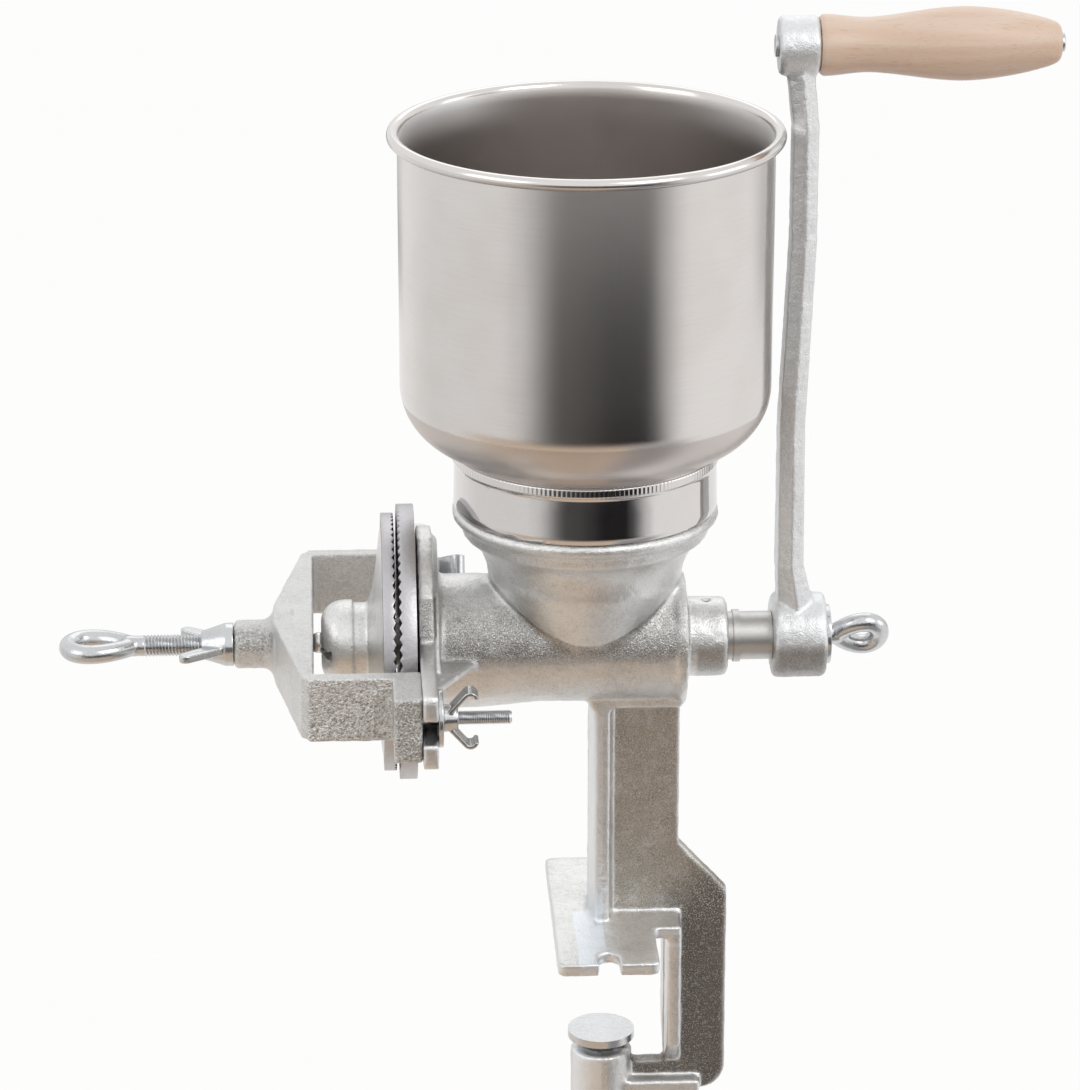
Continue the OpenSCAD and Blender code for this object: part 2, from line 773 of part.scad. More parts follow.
module crank_arm() {
    mid_x = hub_x + hub_l / 2;
    tip_x = hub_x - boss_chamfer;
    rim_side = rim_r + bead_r + rim_clear + crank_t / 2;
    height_shares = [0.05, 0.13, 0.37, 0.68, 0.87, 0.93, 0.985];
    centres = [mid_x - boss_chamfer, mid_x - crank_t * 0.4, mid_x - crank_t * 0.42, rim_side,
        rim_side, (rim_side + tip_x + tip_l / 2) / 2, tip_x + tip_l / 2];
    thick_shares = [1.45, 1.05, 1, 1, 1, 1, 1.1];
    color("lightgray")
        difference() {
            union() {
                turned([[0, hub_x], [hub_r - boss_chamfer, hub_x], [hub_r, hub_x + boss_chamfer],
                    [hub_r, hub_end - boss_chamfer], [hub_r - boss_chamfer, hub_end], [0, hub_end]]);
                translate([0, 0, throw])
                    turned([[0, tip_x], [tip_r - boss_chamfer, tip_x], [tip_r, tip_x + boss_chamfer],
                        [tip_r, tip_x + tip_l - boss_chamfer], [tip_r - boss_chamfer, tip_x + tip_l],
                        [0, tip_x + tip_l]]);
                for (i = [0:5])
                    hull()
                        for (k = [i, i + 1])
                            arm_section(height_shares[k], centres[k], crank_t * thick_shares[k]);
            }
            square_tang(hub_x - over, hub_l + over * 2, tang_w + run_fit * 2);
            translate([0, 0, throw])
                on_shaft(tip_x - over)
                    cylinder(r = grip_bolt_r, h = tip_l + over * 2);
        }
}

module crank_washer() {
    washer(hub_end + seat_gap, 0, crank_washer_r, crank_screw_r + run_fit);
}

// Eye screw in the shaft's end, its ring turned to the side
module crank_screw() {
    ring_x = hub_end + seat_gap * 2 + washer_t;
    color("lightsteelblue")
        on_shaft(0) {
            translate([0, 0, hub_x + hub_l / 4])
                cylinder(r = crank_screw_r, h = ring_x - hub_x - hub_l / 4 + small_wire_r * 1.6);
            translate([0, 0, ring_x])
                cylinder(r = crank_screw_r * 1.4, h = small_wire_r * 0.6);
            translate([0, 0, ring_x + small_eye_r + small_wire_r * 1.4])
                rotate([90, 0, 30])
                    rotate_extrude()
                        translate([small_eye_r, 0])
                            circle(small_wire_r, $fn = 32);
        }
}

// Turned wooden grip: a flat collar end, a waist, a bulge and a small round end
module grip() {
    start = hub_x - boss_chamfer + tip_l + seat_gap;
    r_shares = [0.78, 0.86, 0.82, 0.75, 0.76, 0.85, 0.95, 1, 0.98, 0.9, 0.76, 0.6, 0.5, 0.36];
    x_shares = [0, 0.015, 0.07, 0.17, 0.24, 0.36, 0.47, 0.57, 0.66, 0.77, 0.88, 0.96, 0.985, 1];
    color("burlywood")
        translate([0, 0, throw])
            difference() {
                turned(concat([[0, start]],
                    [for (i = [0:13]) [grip_r * r_shares[i], start + grip_l * x_shares[i]]],
                    [[0, start + grip_l]]));
                on_shaft(start - over)
                    cylinder(r = grip_bolt_r + run_fit, h = grip_l + over * 2);
            }
}

module grip_bolt() {
    tip_x = hub_x - boss_chamfer;
    grip_end = tip_x + tip_l + seat_gap * 2 + grip_l;
    color("silver")
        translate([0, 0, throw]) {
            on_shaft(tip_x - boss_chamfer)
                cylinder(r = grip_bolt_r, h = grip_end - tip_x + boss_chamfer);
            on_shaft(tip_x - boss_chamfer)
                cylinder(r1 = grip_bolt_r, r2 = grip_bolt_r * 1.5, h = boss_chamfer);
            on_shaft(grip_end)
                cylinder(r = grip_bolt_r * 1.2, h = boss_chamfer);
        }
}

// Bucket: a rolled rim, a straight wall, a round shoulder and a sloping foot
module hopper_bucket() {
    inner = shoulder_r - sheet_t;
    cx = bucket_r - shoulder_r;
    color("silver") {
        upright(concat(
            [[collar_r, foot_z]],
            arc(cx, shoulder_z, shoulder_r, foot_slope - 90, 0),
            [[bucket_r, rim_z], [bucket_r - sheet_t, rim_z]],
            arc(cx, shoulder_z, inner, 0, foot_slope - 90),
            [[collar_r - sheet_t, foot_z + sheet_t / 2]]));
        translate([0, 0, shaft_h + rim_z])
            rotate_extrude()
                translate([rim_r - seat_step / 2, 0])
                    circle(bead_r, $fn = 32);
    }
}

// Collar: a rolled seam under the bucket, a polished wall and a spigot in the seat
module hopper_collar() {
    seam_h = foot_z / 16;
    wall_top = foot_z - seam_h;
    color("whitesmoke")
        upright([[collar_r - sheet_t * 2, foot_z], [collar_r, foot_z],
            [collar_r + sheet_t / 2, foot_z - seam_h / 4], [collar_r + sheet_t / 2, foot_z - seam_h * 3 / 4],
            [collar_r - sheet_t / 4, wall_top], [collar_r - sheet_t / 4, seat_z + sheet_t],
            [collar_r - sheet_t, seat_z + seat_gap], [spigot_r, seat_z + seat_gap],
            [spigot_r, seat_z - spigot_l], [spigot_r - sheet_t, seat_z - spigot_l],
            [spigot_r - sheet_t, seat_z + sheet_t], [collar_r - sheet_t * 2, seat_z + sheet_t * 2]]);
}

// Clamp screw: a ball end in the pad, a long thread, and an eye below
module clamp_screw() {
    top = -clamp_open - pad_t / 2;
    boss_bottom = arm_h / 2 - frame_drop - clamp_boss_l / 2;
    bottom = boss_bottom - clamp_free_l;
    color("lightsteelblue")
        translate([clamp_x, 0, 0]) {
            translate([0, 0, bottom])
                cylinder(r = clamp_r, h = top - bottom);
            translate([0, 0, bottom - eye_mid_r + eye_wire_r / 2])
                rotate([90, 0, 0])
                    rotate_extrude()
                        translate([eye_mid_r, 0])
                            circle(eye_wire_r, $fn = 32);
        }
}

// Swivel pad of the clamp
module clamp_pad() {
    color("silver")
        translate([clamp_x, 0, -clamp_open - pad_t])
            difference() {
                union() {
                    cylinder(r1 = pad_r * 0.7, r2 = pad_r, h = pad_t / 2);
                    translate([0, 0, pad_t / 2])
                        cylinder(r = pad_r, h = pad_t / 2);
                }
                translate([0, 0, -over])
                    cylinder(r = clamp_r + run_fit, h = pad_t / 2 + over + seat_gap);
            }
}

mill_body();
stationary_burr();
burr_screws();
yoke();
yoke_stud_front();
yoke_stud_rear();
washer_front();
washer_rear();
wing_nut_front();
wing_nut_rear();
adjusting_screw();
lock_nut();
thrust_ball();
burr_carrier();
rotating_burr();
carrier_screws();
auger_shaft();
crank_arm();
crank_washer();
crank_screw();
grip();
grip_bolt();
hopper_bucket();
hopper_collar();
clamp_screw();
clamp_pad();
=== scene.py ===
# Clamp-on hand mill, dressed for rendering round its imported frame. Lengths are in mm until a mesh is made.
import json
import math

import bmesh
import bpy
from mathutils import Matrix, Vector, noise


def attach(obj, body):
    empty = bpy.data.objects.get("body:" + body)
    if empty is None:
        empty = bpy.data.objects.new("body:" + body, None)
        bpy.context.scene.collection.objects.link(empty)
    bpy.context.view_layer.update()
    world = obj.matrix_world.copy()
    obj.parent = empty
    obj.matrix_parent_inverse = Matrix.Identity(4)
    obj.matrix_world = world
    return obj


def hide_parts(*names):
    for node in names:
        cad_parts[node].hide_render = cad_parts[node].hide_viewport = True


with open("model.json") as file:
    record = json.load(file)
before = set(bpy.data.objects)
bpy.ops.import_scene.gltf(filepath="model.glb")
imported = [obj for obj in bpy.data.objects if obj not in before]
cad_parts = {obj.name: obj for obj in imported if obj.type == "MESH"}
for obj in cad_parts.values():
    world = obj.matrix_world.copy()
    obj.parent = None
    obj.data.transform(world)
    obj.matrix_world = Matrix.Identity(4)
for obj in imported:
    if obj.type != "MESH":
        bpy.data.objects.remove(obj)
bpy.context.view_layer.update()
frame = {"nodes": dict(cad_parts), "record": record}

mm = 0.001
shaftHeight = 118  # of the main shaft's axis above the jaw's underside


def addToScene(name, data):
    ob = bpy.data.objects.new(name, data)
    bpy.context.collection.objects.link(ob)
    return ob


# place and aim in metres, focal and longSide in pixels of the picture
camera = {"place": (-0.0960, -1.5960, 0.7368), "aim": (-0.01697, 0, 0.1559),
          "focal": 4509.17, "longSide": 1090}


def placeCamera():
    data = bpy.data.cameras.new("camera")
    data.sensor_width = 36
    data.lens = camera["focal"] * data.sensor_width / camera["longSide"]
    data.clip_start, data.clip_end = 0.05, 50
    eye = addToScene("camera", data)
    eye.location = camera["place"]
    look = Vector(camera["aim"]) - Vector(camera["place"])
    eye.rotation_mode = "QUATERNION"
    eye.rotation_quaternion = look.to_track_quat("-Z", "Y")
    bpy.context.scene.camera = eye


placeCamera()
print("camera placed")


# One value in a node tree. Arithmetic on it adds Math nodes.
class Wire:
    def __init__(self, paint, socket):
        self.paint, self.socket = paint, socket

    def maths(self, operation, *values, clamp=False):
        sockets = dict(enumerate(values))
        return self.paint.add("ShaderNodeMath", {"operation": operation, "use_clamp": clamp}, sockets)

    def __add__(self, other):
        return self.maths("ADD", self, other)

    __radd__ = __add__

    def __sub__(self, other):
        return self.maths("SUBTRACT", self, other)

    def __rsub__(self, other):
        return self.maths("SUBTRACT", other, self)

    def __mul__(self, other):
        return self.maths("MULTIPLY", self, other)

    __rmul__ = __mul__

    def __pow__(self, other):
        return self.maths("POWER", self, other)

    def kept(self):  # kept between 0 and 1
        return self.maths("ADD", self, 0.0, clamp=True)

    def above(self, low, high):  # 0 below low, 1 above high, with a soft step between
        return self.paint.add("ShaderNodeMapRange", {"interpolation_type": "SMOOTHSTEP"},
                              {"Value": self, "From Min": low, "From Max": high})

    def below(self, low, high):  # 1 below low, 0 above high
        return 1 - self.above(low, high)

    def over(self, other):  # the larger of the two
        return self.maths("MAXIMUM", self, other)


# The nodes of a material or a world round its shader, and the one method that adds any other node
class Paint:
    def __init__(self, owner, shader, **sockets):
        owner.use_nodes = True
        self.owner, self.tree = owner, owner.node_tree
        self.shader = self.tree.nodes[shader]
        self.set(**sockets)

    def put(self, socket, value):
        if isinstance(value, Wire):
            self.tree.links.new(value.socket, socket)
        elif hasattr(socket.default_value, "__len__") and len(socket.default_value) == 4 and len(value) == 3:
            socket.default_value = (*value, 1)
        else:
            socket.default_value = value

    def set(self, **sockets):
        for name, value in sockets.items():
            words = name[0].upper() + "".join(" " + c if c.isupper() else c for c in name[1:])
            self.put(self.shader.inputs[words], value)

    def add(self, kind, settings=None, sockets=None, out=None):
        node = self.tree.nodes.new(kind)
        for name, value in (settings or {}).items():
            setattr(node, name, value)
        for name, value in (sockets or {}).items():
            self.put(node.inputs[name], value)
        if out is not None:
            return Wire(self, node.outputs[out])
        return Wire(self, next(o for o in node.outputs if o.enabled))

    def place(self, scale=None):
        point = self.add("ShaderNodeTexCoord", out="Object")
        if not scale:
            return point
        return self.add("ShaderNodeVectorMath", {"operation": "MULTIPLY"}, {0: point, 1: scale})

    def grain(self, scale, detail, rough, point=None):
        return self.add("ShaderNodeTexNoise", None, {"Vector": point or self.place(), "Scale": scale,
                                                     "Detail": detail, "Roughness": rough}, out="Fac")

    def cells(self, scale, point=None):
        return self.add("ShaderNodeTexVoronoi", None, {"Vector": point or self.place(), "Scale": scale},
                        out="Distance")

    def blend(self, share, first, second):
        return self.add("ShaderNodeMix", {"data_type": "RGBA"}, {0: share, 6: first, 7: second}, out=2)

    def bump(self, height, distance, strength, under=None):
        sockets = {"Height": height, "Distance": distance, "Strength": strength}
        if under:
            sockets["Normal"] = under
        return self.add("ShaderNodeBump", None, sockets)

    def split(self, vector):
        parts = self.add("ShaderNodeSeparateXYZ", None, {0: vector})
        return [Wire(self, o) for o in parts.socket.node.outputs]

    def placeInMm(self):
        return [axis * 1000 for axis in self.split(self.place())]


def newPaint(name, **sockets):
    return Paint(bpy.data.materials.new(name), "Principled BSDF", **sockets)


# Turns an outline in mm into one with rounded corners. Each point is (radius, place, rounding).
def rounded(points, steps):
    line = []
    for i, (r, p, cut) in enumerate(points):
        here = Vector((r, p))
        if cut == 0 or i in (0, len(points) - 1):
            line.append((r, p))
            continue
        before, after = (Vector(points[i - 1][:2]) - here), (Vector(points[i + 1][:2]) - here)
        angle = before.angle(after)
        reach = min(cut / math.tan(angle / 2), before.length * 0.49, after.length * 0.49)
        before.normalize()
        after.normalize()
        radius = reach * math.tan(angle / 2)
        centre = here + (before + after).normalized() * (radius / math.sin(angle / 2))
        start, end = here + before * reach - centre, here + after * reach - centre
        turn = start.angle_signed(end) if start.length > 1e-9 and end.length > 1e-9 else 0
        first = math.atan2(start.y, start.x)
        for k in range(steps + 1):
            a = first - turn * k / steps
            line.append((centre.x + radius * math.cos(a), centre.y + radius * math.sin(a)))
    return line


# Points on an arc, with its ends in degrees
def arc(cx, cy, radius, start, end, steps):
    angles = [math.radians(start + (end - start) * k / steps) for k in range(steps + 1)]
    return [(cx + radius * math.cos(a), cy + radius * math.sin(a)) for a in angles]


# A solid of revolution from (radius, place) points. The axis is "x" or "z", through a centre in mm.
def lathe(line, axis, centre, turns, loop=False):
    verts, rings = [], []
    for r, p in line:
        if r < 1e-6:
            rings.append([len(verts)] * turns)
            ring = [(0, 0, p)]
        else:
            rings.append(list(range(len(verts), len(verts) + turns)))
            angles = [math.tau * k / turns for k in range(turns)]
            ring = [(r * math.cos(a), r * math.sin(a), p) for a in angles]
        for x, y, z in ring:
            spot = (z, x, y) if axis == "x" else (x, y, z)
            verts.append(tuple((s + c) * mm for s, c in zip(spot, centre)))
    faces = []
    pairs = list(zip(rings, rings[1:])) + ([(rings[-1], rings[0])] if loop else [])
    for low, high in pairs:
        for k in range(turns):
            n = (k + 1) % turns
            corners = [low[k], low[n], high[n], high[k]]
            faces.append(list(dict.fromkeys(corners)))
    return verts, faces


# Puts several (verts, faces) shapes into one
def joined(*shapes):
    verts, faces = [], []
    for v, f in shapes:
        faces += [[i + len(verts) for i in face] for face in f]
        verts += list(v)
    return verts, faces


# sharp is the angle, in degrees, from which an edge stays crisp
def asMesh(name, shape, sharp=40):
    mesh = bpy.data.meshes.new(name)
    mesh.from_pydata(shape[0], [], shape[1])
    mesh.validate()
    work = bmesh.new()
    work.from_mesh(mesh)
    bmesh.ops.remove_doubles(work, verts=work.verts, dist=1e-7)
    bmesh.ops.recalc_face_normals(work, faces=work.faces)
    work.to_mesh(mesh)
    work.free()
    mesh.shade_smooth()
    mesh.set_sharp_from_angle(angle=math.radians(sharp))
    return mesh


# Links a mesh as a piece on a body, in place of CAD nodes
def fit(name, mesh, body, slotName, material, *nodes):
    piece = addToScene(name, mesh)
    mesh.materials.clear()
    mesh.materials.append(material)
    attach(piece, body)
    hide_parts(*nodes)


def finished(piece):
    return bpy.data.meshes.new_from_object(piece.evaluated_get(bpy.context.evaluated_depsgraph_get()))


# One skin round all of a mesh, smoothed for a number of rounds
def remeshed(piece, voxel, rounds):
    remesh = piece.modifiers.new("remesh", "REMESH")
    remesh.mode, remesh.voxel_size = "VOXEL", voxel * mm
    smooth = piece.modifiers.new("smooth", "SMOOTH")
    smooth.factor, smooth.iterations = 0.5, rounds
    return finished(piece)


# Swells of a casting's skin: a broad and a fine noise, the broad one's share, and the level that stays put
swell = {"broad": 160, "fine": 420, "share": 0.6, "level": 0.25}
mostFaces = 190000


# A casting: the node's own solid, remeshed, with its edges rounded and its skin a little uneven
def cast(node, voxel, rounds, uneven):
    mesh = frame["nodes"][node].data.copy()
    work = bmesh.new()
    work.from_mesh(mesh)
    bmesh.ops.remove_doubles(work, verts=work.verts, dist=1e-6)
    work.to_mesh(mesh)
    work.free()
    rough = addToScene("rough", mesh)
    done = remeshed(rough, voxel, rounds)
    rough.modifiers.clear()
    rough.data = done
    low, high = ([pick(v.co[i] for v in mesh.vertices) for i in range(3)] for pick in (min, max))
    normals = [v.vector.copy() for v in done.vertex_normals]
    for v, normal in zip(done.vertices, normals):
        broad, fine = noise.noise(v.co * swell["broad"]), noise.noise(v.co * swell["fine"])
        lift = broad * swell["share"] + fine * (1 - swell["share"])
        spot = v.co + normal * ((lift - swell["level"]) * uneven * mm)
        v.co = [min(max(c, a), b) for c, a, b in zip(spot, low, high)]  # never past the solid's own box
    if len(done.polygons) * 2 > mostFaces:
        thin = rough.modifiers.new("thin", "DECIMATE")
        thin.ratio = mostFaces / (len(done.polygons) * 2)
        done = finished(rough)
    bpy.data.objects.remove(rough)
    done.shade_smooth()
    print("cast", node, len(done.polygons), "faces")
    return done


# Colours of a tinned casting: the tin, its thin and worn places, a painted cool light, black for dark places and
# painted shade, and the dirt and painted glints in its grain
casting = {"bright": (0.79, 0.792, 0.785), "clean": (0.83, 0.865, 0.9), "dull": (0.50, 0.49, 0.475),
           "dark": (0.20, 0.19, 0.175), "brown": (0.44, 0.39, 0.325), "black": (0.115, 0.108, 0.102),
           "dust": (0.56, 0.52, 0.47), "spark": (0.88, 0.88, 0.87)}
plainZones = (0.1, 0.0, 0.0, 0.0)


# Tinned casting. coarse runs from 0, smooth, to 1, sandy; soil is how much dark is left in the grain; zones
# gives how sandy, how brown and how dark each place is, the dark taking in painted shade, and how much painted
# light it gets; grainSize is in mm.
def castSkin(name, coarse, soil, tone=1.0, zones=None, grainSize=0.5, metallic=1.0):
    paint = newPaint(name, metallic=metallic)
    sandy, brown, deep, clean = zones(paint) if zones else plainZones
    grit = paint.grain(1500, 3, 0.65)
    lumps = paint.grain(520, 2, 0.55)
    pits = paint.cells(1900)
    broad = paint.grain(70, 3, 0.55)
    grains = paint.grain(1 / (grainSize * mm), 2, 0.55)
    # Pointiness lifts the edges: partly rubbed wear, partly a painted highlight along them
    edge = paint.add("ShaderNodeNewGeometry", out="Pointiness").above(0.5, 0.56)
    flat = 1 - edge * 0.85  # edges are rubbed bright
    bright = tuple(min(1, c * tone) for c in casting["bright"])
    shade = (grit * 0.55 + lumps * 0.25 + broad * 0.35).above(0.5, 0.78)
    colour = paint.blend((shade * (0.3 + soil) * flat).kept(), bright, casting["dull"])
    grime = (grit.above(0.6, 0.78) * lumps.above(0.45, 0.7) * soil).kept()
    colour = paint.blend(grime, colour, casting["dark"])
    # painted light: a cool, lighter tone laid on where the zones ask for it
    colour = paint.blend(clean, colour, casting["clean"])
    colour = paint.blend(brown * flat * 0.85, colour, casting["brown"])
    # black covers dark places and the painted shade that the zones give
    colour = paint.blend(deep * flat * 0.9, colour, casting["black"])
    rough = sandy + brown * 0.8 + deep
    colour = paint.blend((grains.below(0.3, 0.5) * rough * flat * 0.6).kept(), colour, casting["dark"])
    # painted glints: bright grains in the tin, dimmer where it is brown or dark
    colour = paint.blend((grains.above(0.5, 0.68) * rough * 0.85).kept(), colour,
                         paint.blend(brown * 0.6 + deep, casting["spark"], casting["dust"]))
    paint.set(baseColor=colour, roughness=0.21 + 0.1 * coarse + grit * 0.2)
    height = (grit * (0.55 * coarse + 0.2) + pits * (0.45 * coarse) + lumps * (0.5 * coarse + 0.3)
              + grains * rough * 0.6)
    fine = paint.bump(height, 0.00055 * (0.35 + coarse), 0.55 + 0.45 * coarse)
    paint.set(normal=paint.bump(broad, 0.0016, 0.25, fine))
    return paint.owner


# How far each place lies in a patchy area, of which a casting has several
def patches(paint):
    return paint.grain(130, 3, 0.6).above(0.3, 0.55)


# The body is sandy with a painted shadow on its barrel below the throat, sandy and dark on its ear, brown on the
# web, dark on its outer part, painted shade below the rear boss, painted light on the rib and the jaw's edge.
# Places are in mm.
def bodyZones(paint):
    x, y, z = paint.placeInMm()
    patchy = patches(paint)
    across = (y * y + (z - shaftHeight) ** 2) ** 0.5
    front = y.below(-9, -2)
    band = z.above(115, 122) * z.below(133, 142) * front
    barrel = band * across.below(26.3, 27.2) * x.above(-57, -52) * x.below(38.5, 40)
    facets = x.below(-57.6, -56.8) * z.above(133, 134.5) * z.below(146, 148) * y.below(-30, -28)
    flank = (y * y).below(10.6, 13) * z.below(88, 94) * x.above(6.6, 7.4)
    brown = flank * z.above(-2, 2) * (0.6 + patchy * 0.4)
    deep = flank * (x - z * 0.8).above(12, 42)
    ring = ((x * x + y * y) ** 0.5).above(38.5, 39.5) * z.above(163, 165)
    # painted light on the rib and the jaw's edge
    rib = x.above(-5, -4) * x.below(6.2, 6.8) * y.below(-3, -1) * z.below(88, 96)
    jaw = (z * z).above(2, 4) * (z * z).below(11, 13)
    sandy = (barrel * 0.55 + facets * 0.4 + ring * 0.5 + 0.1).kept()
    low = z.below(120, 130)
    # painted shade below the rear boss's axis
    boss = x.above(41, 43) * z.below(116, 122) * z.above(98, 101) * (0.32 + z.above(107, 111) * 0.22)
    # painted shadow on the barrel's front, deeper low down and towards the flange
    shadow = barrel * (0.28 + patchy * 0.22 + low * 0.2 + x.below(-24, -14) * 0.16)
    return sandy, brown.kept(), (deep + shadow + facets * 0.75 + boss).kept(), (rib + jaw).kept()


# The crank is sandy in its middle part, its hub has painted shade below the axis, and all of it has a painted
# light
def armZones(paint):
    z = paint.placeInMm()[2]
    patchy = patches(paint)
    sandy = (z.above(150, 190) * patchy * 0.3 + 0.12) * (1 - z.above(225, 265) * 0.3)
    # painted shade on the hub below the axis, deepest in a band
    deep = z.below(116, 121) * (0.38 + patchy * 0.12 + z.above(106, 110) * 0.25)
    # the last value is a painted light over the whole crank
    return sandy, 0.0, deep, 0.45


# The yoke is sandy on the front of its arm and foot, darker on the foot, and has a painted dark reflection band
# on its boss
def yokeZones(paint):
    x, y, z = paint.placeInMm()
    front = y.below(-68.4, -67.6) * z.below(129.6, 130.4)
    foot = front * y.below(-90.4, -89.6)
    drift = paint.grain(60, 2, 0.5).above(0.35, 0.65)
    # a painted dark reflection band round the boss
    boss = x.below(-115, -112) * (y * y).below(120, 150) * z.above(116.5, 120) * z.below(124, 128)
    sandy = front * x.above(-112, -108) * (0.7 + drift * 0.5) + boss * 0.5 + 0.12
    deep = foot * 0.3 + front * 0.08 + y.above(58, 61) * 0.05 + boss * 0.45
    return sandy, 0.0, deep, 0.0


# painted shade for the roots of threads
threadRootShade = (0.08, 0.075, 0.07)


# streak is how much the roughness varies, scale stretches the marks, valley paints shade into the roots of a
# thread, and fade is how dark the colour's dull places are
def plainMetal(name, colour, rough, streak=0.0, scale=None, bumpDepth=0.0, valley=0.0, fade=0.86):
    paint = newPaint(name, metallic=1.0)
    fine = paint.grain(900, 3, 0.6, paint.place(scale))
    broad = paint.grain(60, 2, 0.5)
    shade = (fine * 0.5 + broad * 0.5).above(0.35, 0.7)
    dim = tuple(c * fade for c in colour)
    tone = paint.blend(shade, colour, dim)
    if valley:
        # painted shade in the thread roots
        root = paint.add("ShaderNodeNewGeometry", out="Pointiness").below(0.40, 0.5)
        tone = paint.blend((root * valley).kept(), tone, threadRootShade)
    paint.set(baseColor=tone, roughness=rough + (fine - 0.5) * streak)
    if bumpDepth:
        paint.set(normal=paint.bump(fine, bumpDepth, 0.6))
    return paint.owner


finishes = {
    "castBright": castSkin("castBright", 0.4, 0.35),
    "castBody": castSkin("castBody", 0.45, 0.35, zones=bodyZones),
    "castSandy": castSkin("castSandy", 0.8, 0.35, tone=0.93, zones=yokeZones, grainSize=0.9),
    "castArm": castSkin("castArm", 0.45, 0.2, tone=1.06, zones=armZones, metallic=0.64),
    "burrIron": plainMetal("burrIron", (0.56, 0.55, 0.565), 0.36, streak=0.1, bumpDepth=0.0002),
    "zincPlate": plainMetal("zincPlate", (0.66, 0.67, 0.68), 0.2, streak=0.15, bumpDepth=0.0001, valley=0.5),
    "turnedSteel": plainMetal("turnedSteel", (0.62, 0.615, 0.60), 0.4, streak=0.2, scale=(6, 1, 1),
                              bumpDepth=0.0001),
    "mirrorSteel": plainMetal("mirrorSteel", (0.72, 0.70, 0.69), 0.07, fade=0.96),
}

# The bucket in mm, for its finish and its shape: wall is the outside radius, flare how far the wall has spread
# at each height, bead the radius of the rolled rim, round a ring beadRadius from the axis, and shoulder the
# radius of the bend above the foot
bucket = {"wall": 69.2, "sheet": 0.9, "rim": 315.4, "bead": 2.2, "beadRadius": 71.0, "shoulder": 24.0,
          "shoulderHeight": 220.7, "footRadius": 49.7, "foot": 195.6,
          "flare": [(0, 232), (0, 250), (0.05, 270), (0.1, 290), (0.1, 308)],
          "insideHeights": (300, 270, 240)}
# Each pair of colours is the steel's lighter and its duller places. The painted light inside the lip fades in
# over lipRise and, away from lipMiddle, over lipSides, which are squared; the painted shade under the rim ends
# over rimFoot. All are in metres.
satin = {"outside": ((0.735, 0.71, 0.69), (0.68, 0.65, 0.625)),
         "inside": ((0.64, 0.60, 0.58), (0.58, 0.54, 0.515)),
         "lip": (0.9, 0.895, 0.89), "lipRise": (0.299, 0.3135), "lipMiddle": 0.009, "lipSides": (0.0003, 0.0030),
         "paintedRimShade": (0.30, 0.315, 0.34), "rimFoot": (0.3138, 0.3152)}


# Bucket: soft marks outside, dull inside, a painted light inside below the rim at both sides, a painted shade
# under the rim
def bucketSteel():
    wall = bucket["wall"]
    paint = newPaint("satinSteel", metallic=1.0)
    x, y, z = paint.split(paint.place())
    radius = (x * x + y * y) ** 0.5
    inside = radius.below((wall - 0.6) * mm, (wall - 0.4) * mm)
    # painted shade under the rim
    under = radius.above((wall + 0.3) * mm, (wall + 1.2) * mm) * z.below(*satin["rimFoot"])
    marks = paint.grain(900, 3, 0.6, paint.place((0.06, 0.06, 2.4)))
    cloud = paint.grain(26, 2, 0.5)
    aside = (x - satin["lipMiddle"]) ** 2
    # painted light inside, below the rim at both sides
    lip = z.above(*satin["lipRise"]) * aside.above(*satin["lipSides"]) * inside
    tone = paint.blend((marks.above(0.4, 0.7) * 0.3 + cloud.above(0.4, 0.7) * 0.7).kept(), *satin["outside"])
    tone = paint.blend(inside, tone, paint.blend(cloud.above(0.35, 0.65), *satin["inside"]))
    tone = paint.blend(lip, tone, satin["lip"])
    tone = paint.blend(under * 0.8, tone, satin["paintedRimShade"])
    rough = 0.155 + (marks - 0.5) * 0.05 + cloud * 0.02 + inside * 0.17 + lip * 0.22
    paint.set(baseColor=tone, roughness=rough, normal=paint.bump(marks, 0.000008, 0.5))
    return paint.owner


finishes["satinSteel"] = bucketSteel()

wood = {"dark": (0.80, 0.56, 0.41), "light": (0.91, 0.745, 0.62),
        "fibre": (0.62, 0.38, 0.25), "fleck": (0.55, 0.34, 0.23)}


# Beech with its rings, fibre and flecks along the grip, under a thin varnish
def beechWood():
    paint = newPaint("beechWood", coatWeight=0.55, coatRoughness=0.3)
    point = paint.place((0.12, 1, 1))
    drift = paint.grain(60, 3, 0.5, point)
    rings = paint.add("ShaderNodeTexWave", {"wave_type": "BANDS", "bands_direction": "Z"},
                      {"Vector": point, "Scale": 55, "Distortion": 5, "Detail": 2, "Detail Scale": 2},
                      out="Fac")
    fibre = paint.grain(1600, 2, 0.6, paint.place((0.03, 1, 1)))
    flecks = paint.cells(1400, paint.place((0.09, 1, 1)))
    tone = (rings * 0.3 + drift * 0.7).kept()
    colour = paint.blend(tone, wood["dark"], wood["light"])
    colour = paint.blend((fibre.above(0.55, 0.75) * 0.45).kept(), colour, wood["fibre"])
    colour = paint.blend((flecks.below(0.05, 0.22) * 0.35).kept(), colour, wood["fleck"])
    paint.set(baseColor=colour, roughness=0.42 + fibre * 0.12, normal=paint.bump(fibre, 0.0002, 0.25))
    return paint.owner


finishes["beech"] = beechWood()
print("finishes mixed")

# The solids that stay in sight need a finish, and the others get theirs too
finishOfSlot = {"tinned_casting": "castBright", "burr_iron": "burrIron", "satin_steel": "satinSteel",
                "polished_steel": "mirrorSteel", "zinc_plate": "zincPlate", "shaft_steel": "turnedSteel",
                "beech": "beech"}
for name, node in frame["nodes"].items():
    slotName = next(row["material_slot"] for row in frame["record"]["subparts"] if row["node"] == name)
    node.data.materials.clear()
    node.data.materials.append(finishes[finishOfSlot[slotName]])
    node.data.shade_smooth()
    node.data.set_sharp_from_angle(angle=math.radians(30))

